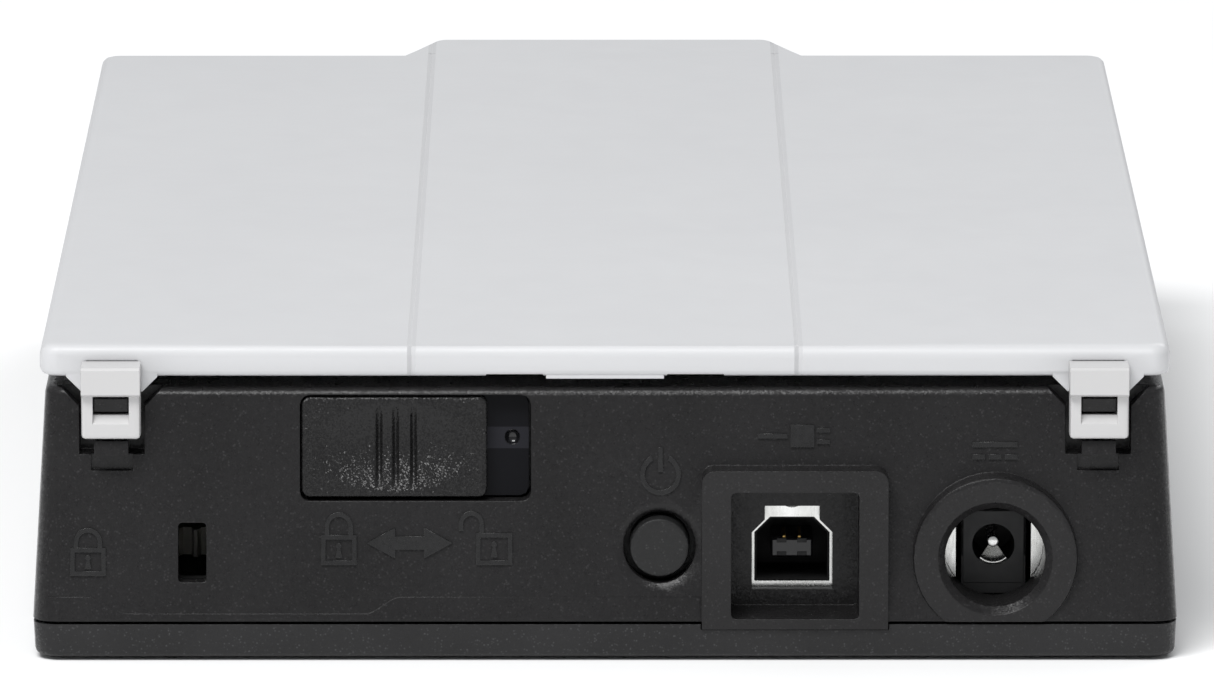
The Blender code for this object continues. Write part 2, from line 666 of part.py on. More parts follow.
def add_front_controls():
    button = cylinder(
        "start_button", (START_X, -105.9, START_Z), (START_X, -102.1, START_Z), 3.0, "grey_plastic", "start_button",
        sides=28,
    )
    round_edges(button, lambda p: p.y < -105.8, 0.4, 2)
    fuse(button, cylinder("start_flange", (START_X, -102.9, START_Z), (START_X, -102.1, START_Z), 4.0, sides=28))
    board = box("front_switch_board", (-60.0, -99.5, 12.5), (-38.0, -98.4, 25.5), "circuit_board")
    fuse(board, box("start_switch", (START_X - 2.5, -101.1, 16.5), (START_X + 2.5, -99.0, 21.5)))
    cylinder("status_light_pipe", (LIGHT_X, -105.4, START_Z), (LIGHT_X, -99.9, START_Z), 1.0, "nylon", sides=16)


# ---------------------------------------------------------------- lid


def lid_outline():
    low, high = (-LID_HALF_X, LID_FRONT_Y), (LID_HALF_X, LID_REAR_Y)
    corners = rounded(low, high, 2.5, 3)
    front_right = len(corners) // 2 + len(corners) // 4
    tip_left = arc((-TAB_TIP_HALF_X + 1.6, TAB_TIP_Y + 2.0), 2.0, 200, 270, 3)
    tip_right = arc((TAB_TIP_HALF_X - 1.6, TAB_TIP_Y + 2.0), 2.0, 270, 340, 3)
    base_y = LID_FRONT_Y - 0.05
    tab = [(-TAB_BASE_HALF_X, base_y), *tip_left, *tip_right, (TAB_BASE_HALF_X, base_y)]
    return corners[:front_right] + tab + corners[front_right:]


def turn_up_tab(lid):
    """Bend the finger tab up a little, from a line across it to its tip."""
    place = lid.location + lid.parent.location
    bend_y = -108.0 * MM - place.y
    tip_y = TAB_TIP_Y * MM - place.y
    bm = bmesh.new()
    bm.from_mesh(lid.data)
    everything = bm.verts[:] + bm.edges[:] + bm.faces[:]
    bmesh.ops.bisect_plane(bm, geom=everything, plane_co=(0, bend_y, 0), plane_no=(0, 1, 0), dist=1e-7)
    for vert in bm.verts:
        vert.co.z += max(0.0, (bend_y - vert.co.y) / (bend_y - tip_y)) * TAB_UPTURN * MM
    bmesh.ops.triangulate(bm, faces=bm.faces)
    bm.to_mesh(lid.data)
    bm.free()


def add_lid_shell():
    lid = prism("lid_shell", lid_outline(), "Z", LID_BOTTOM, LID_TOP, "white_plastic", "lid")
    round_edges(lid, lambda p: p.z > LID_TOP - 0.1, 1.3, 3)
    round_edges(lid, lambda p: p.z < LID_BOTTOM + 0.1, 0.8, 2)
    turn_up_tab(lid)
    cut(lid, box("lid_hollow", (-70.2, -102.6, 30.0), (70.2, 110.3, 38.4)))
    cut(lid, box("tab_underside", (-33.0, -120.0, 30.0), (33.0, -105.6, 37.4)))
    for x in (-CREASE_X, CREASE_X):
        groove = [(x - CREASE_HALF, CREASE_TOP), (x, CREASE_BOTTOM), (x + CREASE_HALF, CREASE_TOP)]
        cut(lid, prism(f"crease_{x:.0f}", groove, "Y", -104.9, 120.0))
    for x in (-11.5, 11.5):
        relief = [(x - 3.9, 35.0), (x + 3.9, 35.0), (x + 3.6, 36.3), (x - 3.6, 36.3)]
        cut(lid, prism(f"skirt_relief_{x:.0f}", relief, "Y", 110.0, 114.0))
    fuse(lid, box("skirt_tongue", (-7.5, 110.6, 35.7), (7.5, 111.7, 37.5)))
    for side, sign in both_sides():
        x = sign * HINGE_X
        gusset = [(-3.9, 34.1), (3.9, 34.1), (5.8, 36.0), (5.8, 37.0), (-5.8, 37.0), (-5.8, 36.0)]
        fuse(lid, prism(f"{side}_gusset", [(x + u, z) for u, z in gusset], "Y", 110.1, 111.9))
        cut(lid, box(f"{side}_tang_way", (x - 3.3, 109.0, 30.0), (x + 3.3, 114.0, 38.1)))
    smooth(lid, 40)


def add_hinge_arm(side, x):
    """Hood, leg with window and cross bar, and the tang that holds the arm inside the lid."""
    half = ARM_WIDTH / 2
    profile = [
        (LID_REAR_Y + GAP, HOOD_Z[0]),
        (116.4, HOOD_Z[0]),
        (117.0, HOOD_Z[0] + 0.3),
        (117.0, HOOD_Z[1] - 0.3),
        (116.7, HOOD_Z[1]),
        (LID_REAR_Y + GAP, HOOD_Z[1]),
    ]
    arm = prism(f"{side}_hinge_arm", profile, "X", x - half, x + half, "white_plastic", "lid")
    low, high = HINGE_Y - BAR_HALF, HINGE_Y + BAR_HALF
    leg_bottom, bar_top = HINGE_Z - BAR_HALF, HINGE_Z + BAR_HALF
    leg = box(f"{side}_leg", (x - half, low, leg_bottom), (x + half, high, 36.0), bevel=0.5, segments=2)
    window = [
        (110.0, bar_top - 0.8),
        (low, bar_top - 0.8),
        (low + 0.8, bar_top),
        (high - 1.0, bar_top),
        (high, bar_top - 1.0),
        (118.0, bar_top - 1.0),
        (118.0, HOOD_Z[0]),
        (110.0, HOOD_Z[0]),
    ]
    cut(leg, prism(f"{side}_window", window, "X", x - ARM_WINDOW / 2, x + ARM_WINDOW / 2))
    fuse(arm, leg)
    clear_low = (x - ARM_WINDOW / 2, 113.0, HOOD_Z[0] - 0.8)
    cut(arm, box(f"{side}_hood_clear", clear_low, (x + ARM_WINDOW / 2, 116.2, HOOD_Z[0] + 0.1)))
    fuse(arm, box(f"{side}_tang", (x - 3.0, 99.5, 36.6), (x + 3.0, 113.5, 37.8)))


def add_lid_inside():
    box("lid_inner_panel", (-69.8, -102.2, 36.3), (69.8, 98.9, 38.1), "white_plastic", "lid", bevel=0.4, segments=1)
    box("backing_pad", (-56.0, -93.0, 34.4), (56.0, 64.0, 36.0), "white_sheet", "lid")


# ---------------------------------------------------------------- carriage and sensor


def add_carriage():
    frame = box(
        "carriage_frame",
        (-CARRIAGE_HALF_X, HOME_Y - CARRIAGE_HALF_Y, 12.0),
        (CARRIAGE_HALF_X, HOME_Y + CARRIAGE_HALF_Y, 24.0),
        "black_plastic",
        "carriage",
        bevel=0.5,
        segments=1,
    )
    cut(frame, box("tray_space", (-56.0, HOME_Y - 7.3, 14.3), (56.0, HOME_Y + 7.3, 26.0)))
    rear, front = HOME_Y + CARRIAGE_HALF_Y - 0.1, HOME_Y - CARRIAGE_HALF_Y + 0.1
    fuse(frame, box("rod_block", (ROD_X - 6.5, front, 7.9), (ROD_X + 6.5, rear, 17.5)))
    cut(frame, cylinder("rod_bore", (ROD_X, 40, ROD_Z), (ROD_X, 80, ROD_Z), 4.2, sides=28))
    fuse(frame, box("glide_foot", (-60.9, front, 9.8), (-56.1, rear, 12.5)))
    cut(frame, box("cable_way", (-31.0, 58.0, 11.0), (-9.0, 62.0, 15.0)))
    for name, y in (("front_rod_bushing", HOME_Y - 8.6), ("rear_rod_bushing", HOME_Y + 3.6)):
        ring = cylinder(name, (ROD_X, y, ROD_Z), (ROD_X, y + 5.0, ROD_Z), 3.9, "brass", "carriage", sides=28)
        cut(ring, cylinder(f"{name}_bore", (ROD_X, y - 1, ROD_Z), (ROD_X, y + 6, ROD_Z), ROD_R + RUN, sides=28))
    run_x = BELT_X - BELT_PITCH_R
    clamp_low = (run_x - CLAMP_HALF_X, CLAMP_Y[0], CLAMP_Z[0])
    clamp_high = (run_x + CLAMP_HALF_X, CLAMP_Y[1], CLAMP_Z[1])
    clamp = box("belt_clamp", clamp_low, clamp_high, "nylon", "carriage")
    way_half = BELT_THICK / 2 + GAP
    way_low = (run_x - way_half, CLAMP_Y[0] - 2, CLAMP_Z[0] - 1)
    cut(clamp, box("belt_way", way_low, (run_x + way_half, CLAMP_Y[1] + 2, BELT_Z[1] + 0.4)))


def add_sensor():
    half_x, half_y = SENSOR_HALF_X, SENSOR_HALF_Y
    housing = box(
        "sensor_housing", (-half_x, HOME_Y - half_y, 20.0), (half_x, HOME_Y + half_y, 30.6), "black_plastic", "sensor"
    )
    cut(housing, box("lens_groove", (-52.5, HOME_Y - 1.6, 23.0), (52.5, HOME_Y + 1.6, 32.0)))
    box("lens_array", (-52.0, HOME_Y - 1.1, 23.5), (52.0, HOME_Y + 1.1, 29.8), "grey_plastic", "sensor")
    box("sensor_window", (-49.0, HOME_Y - 5.4, 30.9), (49.0, HOME_Y + 5.4, 31.4), "clear_glass", "sensor")
    box("sensor_board", (-50.0, HOME_Y - 5.0, 18.7), (50.0, HOME_Y + 5.0, 19.7), "circuit_board", "sensor")
    for side, sign in both_sides():
        x0, x1 = sorted((sign * 50.0, sign * 54.4))
        pad_low, pad_high = (x0, HOME_Y - 5.4, 30.9), (x1, HOME_Y + 5.4, 31.7)
        box(f"{side}_glide_pad", pad_low, pad_high, "nylon", "sensor", bevel=0.25, segments=1)
        coil(f"{side}_sensor_spring", (sign * 42.0, HOME_Y, 14.6), "Z", 3.8, 2.2, 3, 0.6, "steel", "carriage")


def ribbon(points, thickness):
    """Outline of a thin strip that follows a line of points."""
    sides = ([], [])
    for i, point in enumerate(points):
        before = Vector(points[max(i - 1, 0)])
        after = Vector(points[min(i + 1, len(points) - 1)])
        along = (after - before).normalized()
        across = Vector((-along.y, along.x)) * thickness / 2
        sides[0].append(tuple(Vector(point) + across))
        sides[1].append(tuple(Vector(point) - across))
    return sides[0] + sides[1][::-1]


def add_sensor_cable():
    """A flat cable from the main board, along the floor, back over itself and up into the carriage."""
    down = [(73.8, 9.6), (72.6, 9.2), (71.6, 8.0), (70.6, 6.0), (69.6, 4.4), (68.2, 3.6), (66.0, 3.4)]
    fold = arc((-12.0, 6.75), 3.35, 270, 90, 8)
    rise = arc((58.0, 12.1), 2.0, 270, 360, 4)
    route = down + fold + rise + [(60.0, 18.2)]
    prism("sensor_flat_cable", ribbon(route, 0.4), "X", -30.0, -10.0, "white_sheet")


# ---------------------------------------------------------------- drive


def gear_outline(centre, teeth):
    """Teeth with straight flanks, thinner than half the pitch so that the pair turns freely."""
    pitch_r = GEAR_MODULE * teeth / 2
    step = 2 * math.pi / teeth
    root_r, tip_r = pitch_r - 1.0 * GEAR_MODULE, pitch_r + 0.8 * GEAR_MODULE
    root, flank, tip = 0.27 * step, 0.19 * step, 0.09 * step
    points = []
    for tooth in range(teeth):
        middle = tooth * step
        for angle, r in (
            (-root, root_r), (-flank, pitch_r), (-tip, tip_r), (tip, tip_r), (flank, pitch_r), (root, root_r),
        ):
            points.append((centre[0] + r * math.cos(middle + angle), centre[1] + r * math.sin(middle + angle)))
    return points


def spool(name, y, body):
    """A belt pulley with two flanges, turned about its axle."""
    core = BELT_PITCH_R - BELT_THICK / 2 - GAP
    bore, rim = AXLE_R + RUN, BELT_PITCH_R + 1.0
    z0, z1 = BELT_Z[0] - 1.0, BELT_Z[1] + 1.0
    profile = [
        (bore, z1), (rim, z1), (rim, z1 - 0.7), (core, z1 - 0.7), (core, z0 + 0.7), (rim, z0 + 0.7), (rim, z0),
        (bore, z0),
    ]
    return turned(name, profile, (BELT_X, y, 0.0), "nylon", body)


def add_drive():
    wheel = spool("drive_gear", DRIVE_Y, "drive_gear")
    teeth = prism("gear_teeth", gear_outline((BELT_X, DRIVE_Y), GEAR_TEETH), "Z", GEAR_Z[0] - 0.6, GEAR_Z[1])
    bore_from, bore_to = (BELT_X, DRIVE_Y, 3.0), (BELT_X, DRIVE_Y, 16.0)
    cut(teeth, cylinder("gear_bore", bore_from, bore_to, AXLE_R + RUN + 0.4, sides=24))
    fuse(wheel, teeth)
    spool("idler_pulley", IDLER_Y, "idler_pulley")
    pinion = prism(
        "motor_pinion", gear_outline((MOTOR_X, DRIVE_Y), PINION_TEETH), "Z", *GEAR_Z, "brass", "motor_pinion"
    )
    shaft_low, shaft_high = (MOTOR_X, DRIVE_Y, 11.0), (MOTOR_X, DRIVE_Y, 14.8)
    fuse(pinion, cylinder("motor_shaft", shaft_low, shaft_high, 1.0, sides=16))
    motor = cylinder(
        "drive_motor", (MOTOR_X, DRIVE_Y, 15.1), (MOTOR_X, DRIVE_Y, 28.0), MOTOR_R, "steel", sides=28
    )
    round_edges(motor, lambda p: p.z > 27.9, 0.8, 2)
    plate = box("motor_bracket", (28.0, 72.6, PLATE_Z[0]), (63.0, 94.4, PLATE_Z[1]), "steel")
    cut(plate, cylinder("shaft_way", (MOTOR_X, DRIVE_Y, 12), (MOTOR_X, DRIVE_Y, 16), 2.0, sides=20))
    cut(plate, cylinder("axle_way", (BELT_X, DRIVE_Y, 12), (BELT_X, DRIVE_Y, 16), 1.8, sides=20))
    cylinder("gear_axle", (BELT_X, DRIVE_Y, 3.1), (BELT_X, DRIVE_Y, 14.4), AXLE_R, "steel", sides=24)
    bracket = box("idler_bracket", (46.5, -101.5, 2.85), (57.5, -86.0, 3.2), "steel")
    fuse(bracket, cylinder("idler_axle", (BELT_X, IDLER_Y, 3.0), (BELT_X, IDLER_Y, 10.0), AXLE_R, sides=24))
    fuse(bracket, box("spring_tab", (50.0, -86.8, 3.0), (54.0, -86.0, 8.0)))
    coil("belt_tension_spring", (BELT_X, -75.9, 5.7), "Y", 9.8, 1.6, 4, 0.5, "steel")
    add_belt()


def belt_loop(radius):
    far, near = (BELT_X, DRIVE_Y), (BELT_X, IDLER_Y)
    return arc(far, radius, 0, 180, 12) + arc(near, radius, 180, 360, 12)


def add_belt():
    outer, inner = BELT_PITCH_R + BELT_THICK / 2, BELT_PITCH_R - BELT_THICK / 2
    belt = prism("drive_belt", belt_loop(outer), "Z", *BELT_Z, "belt_rubber")
    cut(belt, prism("belt_inside", belt_loop(inner), "Z", BELT_Z[0] - 1, BELT_Z[1] + 1))


def add_guide_rod():
    cylinder("guide_rod", (ROD_X, -101.0, ROD_Z), (ROD_X, 72.0, ROD_Z), ROD_R, "steel", sides=28)
    for name, y0, y1 in (("front_rod_clamp", -102.0, -98.4), ("rear_rod_clamp", 70.2, 72.3)):
        clamp = box(name, (ROD_X - 5.0, y0, FLOOR_Z + GAP), (ROD_X + 5.0, y1, 18.0), "nylon", bevel=0.3, segments=1)
        cut(clamp, cylinder(f"{name}_seat", (ROD_X, y0 - 5, ROD_Z), (ROD_X, y1 + 5, ROD_Z), ROD_R + GAP))


def add_main_board():
    box("main_board", (-60.0, 74.0, BOARD_BOTTOM), (16.0, BOARD_REAR_Y, BOARD_TOP), "circuit_board")
    chip_z = BOARD_TOP + GAP
    box("scanner_chip", (-4.0, 78.0, chip_z), (10.0, 92.0, chip_z + 1.4), "black_plastic", bevel=0.2, segments=1)
    box("cable_connector", (-31.0, 74.2, chip_z), (-9.0, 79.0, chip_z + 2.8), "nylon", bevel=0.2, segments=1)


def build():
    add_bottom_cover()
    add_upper_housing()
    add_glass()
    add_feet_and_screws()
    add_power_button()
    add_power_switch()
    add_usb_socket()
    add_dc_jack()
    add_security_plate()
    add_lock()
    add_front_controls()
    add_lid_shell()
    for side, sign in both_sides():
        add_hinge_arm(side, sign * HINGE_X)
    add_lid_inside()
    add_carriage()
    add_sensor()
    add_sensor_cable()
    add_drive()
    add_guide_rod()
    add_main_board()


clear_scene()
PARTS = new_collection("flatbed_scanner")
CUTTERS = new_collection("cutters")
BODIES = {}
make_materials()
add_joint_empties()
build()
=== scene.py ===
"""Looks of a compact flatbed scanner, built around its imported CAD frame.

Metres, +Z up, rear panel towards +Y. Names that end in _mm, and the shapes of the new pieces, are in
millimetres.
"""

import itertools
import math

import bmesh
import bpy
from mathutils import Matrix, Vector


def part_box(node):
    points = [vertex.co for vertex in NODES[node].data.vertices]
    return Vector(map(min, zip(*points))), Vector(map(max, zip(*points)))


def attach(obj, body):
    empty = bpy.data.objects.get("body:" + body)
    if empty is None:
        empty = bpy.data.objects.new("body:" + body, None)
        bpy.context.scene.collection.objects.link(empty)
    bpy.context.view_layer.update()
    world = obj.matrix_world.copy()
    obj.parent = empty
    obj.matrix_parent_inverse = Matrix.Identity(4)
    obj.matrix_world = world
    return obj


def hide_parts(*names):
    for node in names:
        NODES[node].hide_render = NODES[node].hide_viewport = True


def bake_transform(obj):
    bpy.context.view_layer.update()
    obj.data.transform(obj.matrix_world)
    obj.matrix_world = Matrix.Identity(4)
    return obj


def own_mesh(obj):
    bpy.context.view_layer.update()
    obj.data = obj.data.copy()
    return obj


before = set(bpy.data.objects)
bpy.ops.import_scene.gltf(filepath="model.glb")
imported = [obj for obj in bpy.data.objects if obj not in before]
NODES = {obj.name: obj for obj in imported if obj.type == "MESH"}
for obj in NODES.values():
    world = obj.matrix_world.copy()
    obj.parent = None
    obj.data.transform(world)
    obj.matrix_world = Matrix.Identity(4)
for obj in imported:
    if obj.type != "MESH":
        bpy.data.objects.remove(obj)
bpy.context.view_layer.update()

MM = 0.001

# Rear wall of the upper housing, as (y, z). It leans forward from the split line to the rim.
WALL_LOW = (116.7, 5.2)
WALL_HIGH = (111.6, 34.5)

# Carriage lock: how far the back of its slider lies under the wall, and the (x, z) of its detent
KNOB_DEPTH = 1.9
DETENT_SPOT = (11.8, 27.9)

# Symbols and the low step are thin plates, sunk in the rear wall. A symbol's face stands this proud.
PLATE_DEPTH = 0.3
RELIEF_HEIGHT = 0.28


def wall_y(z):
    """Y of the rear wall at a height."""
    share = (z - WALL_LOW[1]) / (WALL_HIGH[1] - WALL_LOW[1])
    return WALL_LOW[0] + share * (WALL_HIGH[0] - WALL_LOW[0])


# ---------------------------------------------------------------- camera, light and floor

SENSOR_WIDTH_MM = 36.0
LENS_MM = 379.5717
CAMERA_DISTANCE = 1.626
CAMERA_ELEVATION = 11.18  # degrees above the floor
CAMERA_AZIMUTH = 0.076  # degrees from +Y towards +X
AIM = Vector((-0.00025, 0.1120, 0.0398))

KEY_POWER = 30.0
FILL_POWER = 9.0
SKY_COLOUR = (0.96, 0.98, 1.0, 1.0)
SKY_STRENGTH = 0.46
BACKDROP_COLOUR = (0.93, 0.93, 0.93, 1.0)
FLOOR_COLOUR = (0.97, 0.97, 0.97, 1.0)
FLOOR_HALF = 1.5


def add_camera():
    data = bpy.data.cameras.new("camera")
    data.sensor_fit = "HORIZONTAL"
    data.sensor_width = SENSOR_WIDTH_MM
    data.lens = LENS_MM
    data.dof.use_dof = False
    camera = bpy.data.objects.new("camera", data)
    bpy.context.scene.collection.objects.link(camera)
    azimuth, elevation = math.radians(CAMERA_AZIMUTH), math.radians(CAMERA_ELEVATION)
    back = Vector((
        math.sin(azimuth) * math.cos(elevation),
        math.cos(azimuth) * math.cos(elevation),
        math.sin(elevation),
    ))
    camera.location = AIM + back * CAMERA_DISTANCE
    camera.rotation_mode = "QUATERNION"
    camera.rotation_quaternion = (-back).to_track_quat("-Z", "Y")
    bpy.context.scene.camera = camera


def add_area_light(name, place, target, size, power):
    data = bpy.data.lights.new(name, "AREA")
    data.shape = "RECTANGLE"
    data.size, data.size_y = size
    data.energy = power
    light = bpy.data.objects.new(name, data)
    bpy.context.scene.collection.objects.link(light)
    light.location = place
    light.rotation_mode = "QUATERNION"
    light.rotation_quaternion = (Vector(target) - Vector(place)).to_track_quat("-Z", "Y")
    light.visible_camera = False


def add_lights():
    add_area_light("key", (0.45, 1.0, 1.48), (0.0, 0.05, 0.0), (1.1, 0.7), KEY_POWER)
    add_area_light("front_fill", (-0.9, -1.6, 1.3), (0.0, -0.05, 0.0), (1.0, 0.8), FILL_POWER)


def add_world():
    """Soft light from all sides, with a plain backdrop for the camera."""
    world = bpy.data.worlds.new("studio")
    bpy.context.scene.world = world
    world.use_nodes = True
    tree = world.node_tree
    tree.nodes.clear()
    output = tree.nodes.new("ShaderNodeOutputWorld")
    mix = tree.nodes.new("ShaderNodeMixShader")
    path = tree.nodes.new("ShaderNodeLightPath")
    lighting = tree.nodes.new("ShaderNodeBackground")
    lighting.inputs["Color"].default_value = SKY_COLOUR
    lighting.inputs["Strength"].default_value = SKY_STRENGTH
    seen = tree.nodes.new("ShaderNodeBackground")
    seen.inputs["Color"].default_value = BACKDROP_COLOUR
    tree.links.new(path.outputs["Is Camera Ray"], mix.inputs["Fac"])
    tree.links.new(lighting.outputs["Background"], mix.inputs[1])
    tree.links.new(seen.outputs["Background"], mix.inputs[2])
    tree.links.new(mix.outputs["Shader"], output.inputs["Surface"])


def add_floor():
    mesh = bpy.data.meshes.new("floor")
    corners = [(x * FLOOR_HALF, y * FLOOR_HALF, 0.0) for x, y in ((-1, -1), (1, -1), (1, 1), (-1, 1))]
    mesh.from_pydata(corners, [], [(0, 1, 2, 3)])
    floor = bpy.data.objects.new("floor", mesh)
    bpy.context.scene.collection.objects.link(floor)
    material = bpy.data.materials.new("floor_paper")
    material.use_nodes = True
    shader = material.node_tree.nodes["Principled BSDF"]
    shader.inputs["Base Color"].default_value = FLOOR_COLOUR
    shader.inputs["Roughness"].default_value = 0.9
    shader.inputs["Specular IOR Level"].default_value = 0.1
    mesh.materials.append(material)


# ---------------------------------------------------------------- material building

# Sockets of a colour mix, which share their names with its other kinds
MIX_FIRST, MIX_SECOND, MIX_RESULT = 6, 7, 2
BEVEL_SAMPLES = 6

# Moulded plastic: sizes of its cloudy tone, its specks and the patches they gather in
CLOUD_MM = 14.0
SPECK_MM = 0.42
SPECK_PATCH_MM = 0.7
COARSE_GRAIN = 3.2  # times the fine grain
GRAIN_DEPTH_MM = 0.06


class Look:
    """One procedural material. Its coordinates are the row frame in metres."""

    def __init__(self, name, colour, roughness, metallic=0.0, specular=0.5, **sockets):
        self.material = bpy.data.materials.new(name)
        self.material.use_nodes = True
        self.tree = self.material.node_tree
        self.shader = self.tree.nodes["Principled BSDF"]
        self.place = self.tree.nodes.new("ShaderNodeTexCoord").outputs["Object"]
        self.normal = None
        self.shader.inputs["Base Color"].default_value = (*colour, 1.0)
        self.shader.inputs["Roughness"].default_value = roughness
        self.shader.inputs["Metallic"].default_value = metallic
        self.shader.inputs["Specular IOR Level"].default_value = specular
        for socket, value in sockets.items():
            self.shader.inputs[socket.replace("_", " ")].default_value = value

    def link(self, source, target):
        self.tree.links.new(source, target)
        return source

    def noise(self, size_mm, detail=2.0, roughness=0.5, stretch=None):
        """A noise whose features are about size_mm across, from 0 to 1."""
        node = self.tree.nodes.new("ShaderNodeTexNoise")
        node.inputs["Scale"].default_value = 1.0 / (size_mm * MM)
        node.inputs["Detail"].default_value = detail
        node.inputs["Roughness"].default_value = roughness
        self.link(self.stretched(stretch), node.inputs["Vector"])
        return node.outputs["Fac"]

    def stretched(self, stretch):
        """The coordinates, scaled by a factor for each axis."""
        if stretch is None:
            return self.place
        mapping = self.tree.nodes.new("ShaderNodeMapping")
        mapping.inputs["Scale"].default_value = stretch
        self.link(self.place, mapping.inputs["Vector"])
        return mapping.outputs["Vector"]

    def cells(self, size_mm, feature="F1"):
        """Cells about size_mm across."""
        node = self.tree.nodes.new("ShaderNodeTexVoronoi")
        node.feature = feature
        node.inputs["Scale"].default_value = 1.0 / (size_mm * MM)
        self.link(self.place, node.inputs["Vector"])
        return node

    def spread(self, source, low, high, to_low=0.0, to_high=1.0):
        """Map the range low to high onto to_low to to_high, clamped."""
        node = self.tree.nodes.new("ShaderNodeMapRange")
        sockets = {"From Min": low, "From Max": high, "To Min": to_low, "To Max": to_high}
        for socket, value in sockets.items():
            node.inputs[socket].default_value = value
        self.link(source, node.inputs["Value"])
        return node.outputs["Result"]

    def combine(self, operation, first, second):
        """Sum, product or other result of two values, each a number or a socket."""
        node = self.tree.nodes.new("ShaderNodeMath")
        node.operation = operation
        for socket, value in zip(node.inputs, (first, second)):
            if isinstance(value, (int, float)):
                socket.default_value = value
            else:
                self.link(value, socket)
        return node.outputs["Value"]

    def blend_colour(self, factor, first, second):
        """Mix of two colours, each a tuple or a socket. It becomes the base colour."""
        node = self.tree.nodes.new("ShaderNodeMix")
        node.data_type = "RGBA"
        self.link(factor, node.inputs["Factor"])
        for index, value in ((MIX_FIRST, first), (MIX_SECOND, second)):
            if isinstance(value, tuple):
                node.inputs[index].default_value = (*value, 1.0)
            else:
                self.link(value, node.inputs[index])
        return self.link(node.outputs[MIX_RESULT], self.shader.inputs["Base Color"])

    def rough(self, source):
        self.link(source, self.shader.inputs["Roughness"])

    def use_normal(self, source):
        self.normal = self.link(source, self.shader.inputs["Normal"])

    def split_place(self):
        node = self.tree.nodes.new("ShaderNodeSeparateXYZ")
        self.link(self.place, node.inputs["Vector"])
        return node.outputs

    def soft_edges(self, radius_mm):
        """Worn, slightly rounded edges where two faces meet."""
        node = self.tree.nodes.new("ShaderNodeBevel")
        node.samples = BEVEL_SAMPLES
        node.inputs["Radius"].default_value = radius_mm * MM
        self.use_normal(node.outputs["Normal"])

    def bump(self, height, strength, depth_mm):
        node = self.tree.nodes.new("ShaderNodeBump")
        node.inputs["Strength"].default_value = strength
        node.inputs["Distance"].default_value = depth_mm * MM
        self.link(height, node.inputs["Height"])
        if self.normal is not None:
            self.link(self.normal, node.inputs["Normal"])
        self.use_normal(node.outputs["Normal"])

    def facets(self, size_mm, tilt):
        """Tiny flat grains, each leaning its own way, that glint one by one."""
        grains = self.cells(size_mm)
        centred = self.tree.nodes.new("ShaderNodeVectorMath")
        centred.operation = "MULTIPLY_ADD"
        centred.inputs[1].default_value = (tilt, tilt, tilt)
        centred.inputs[2].default_value = (-tilt / 2,) * 3
        self.link(grains.outputs["Color"], centred.inputs[0])
        total = self.tree.nodes.new("ShaderNodeVectorMath")
        total.operation = "ADD"
        self.link(self.normal, total.inputs[0])
        self.link(centred.outputs[0], total.inputs[1])
        unit = self.tree.nodes.new("ShaderNodeVectorMath")
        unit.operation = "NORMALIZE"
        self.link(total.outputs[0], unit.inputs[0])
        self.use_normal(unit.outputs[0])

    def creases(self, offset_mm, half_mm, depth_mm):
        """Soft fold lines along Y at both sides of the middle, over the grooves of the mesh."""
        from_middle = self.combine("ABSOLUTE", self.split_place()["X"], 0.0)
        past_line = self.combine("SUBTRACT", from_middle, offset_mm * MM)
        from_line = self.combine("ABSOLUTE", past_line, 0.0)
        self.bump(self.spread(from_line, 0.0, half_mm * MM), 1.0, depth_mm)

    def position_mask(self, axis, low_mm, high_mm):
        """1 between two planes across an axis and 0 elsewhere."""
        along = self.split_place()[axis]
        above = self.combine("GREATER_THAN", along, low_mm * MM)
        below = self.combine("LESS_THAN", along, high_mm * MM)
        return self.combine("MULTIPLY", above, below)


def grained_plastic(
    name, dark, light, roughness, grain_mm, bump, speck=None, edge=0.12, glint=None, **sockets
):
    """Moulded plastic with a fine eroded grain, cloudy colour and sparse brighter specks.

    edge is the radius of its soft edges in millimetres. glint is the size of its flat grains in
    millimetres and how far they lean.
    """
    look = Look(name, light, roughness, **sockets)
    look.soft_edges(edge)
    clouds = look.spread(look.noise(CLOUD_MM, 3.0), 0.35, 0.65)
    mixed = look.blend_colour(clouds, dark, light)
    if speck:
        spots = look.cells(SPECK_MM)
        near = look.spread(spots.outputs["Distance"], 0.10, 0.40, 1.0, 0.0)
        chosen = look.spread(look.noise(SPECK_PATCH_MM, 1.0), 0.48, 0.60)
        look.blend_colour(look.combine("MULTIPLY", near, chosen), mixed, speck)
    fine = look.noise(grain_mm, 2.5, 0.6)
    coarse = look.noise(grain_mm * COARSE_GRAIN, 2.0)
    height = look.combine("ADD", fine, look.combine("MULTIPLY", coarse, 0.6))
    look.rough(look.spread(coarse, 0.3, 0.7, roughness - 0.05, roughness + 0.05))
    look.bump(height, bump, GRAIN_DEPTH_MM)
    if glint:
        look.facets(*glint)
    return look


def satin_plastic(name, colour, shade, roughness, orange_peel=0.12, edge=0.15, **sockets):
    """Smooth satin plastic: faint orange peel and a very light change of tone."""
    look = Look(name, colour, roughness, **sockets)
    look.soft_edges(edge)
    look.blend_colour(look.spread(look.noise(38.0, 3.0), 0.3, 0.7), shade, colour)
    look.rough(look.spread(look.noise(5.0, 3.0), 0.3, 0.7, roughness - 0.04, roughness + 0.04))
    look.bump(look.noise(0.45, 2.0), orange_peel, 0.03)
    return look


def brushed_metal(name, colour, shade, roughness, along, scratch=0.25):
    """Drawn or rolled metal: fine lines along one axis and faint stains."""
    look = Look(name, colour, roughness, metallic=1.0)
    look.soft_edges(0.08)
    lines = look.noise(0.25, 3.0, 0.6, stretch=along)
    look.blend_colour(look.spread(look.noise(3.0, 3.0), 0.35, 0.7), shade, colour)
    look.rough(look.spread(lines, 0.25, 0.75, roughness - 0.07, roughness + 0.1))
    look.bump(lines, scratch, 0.01)
    return look


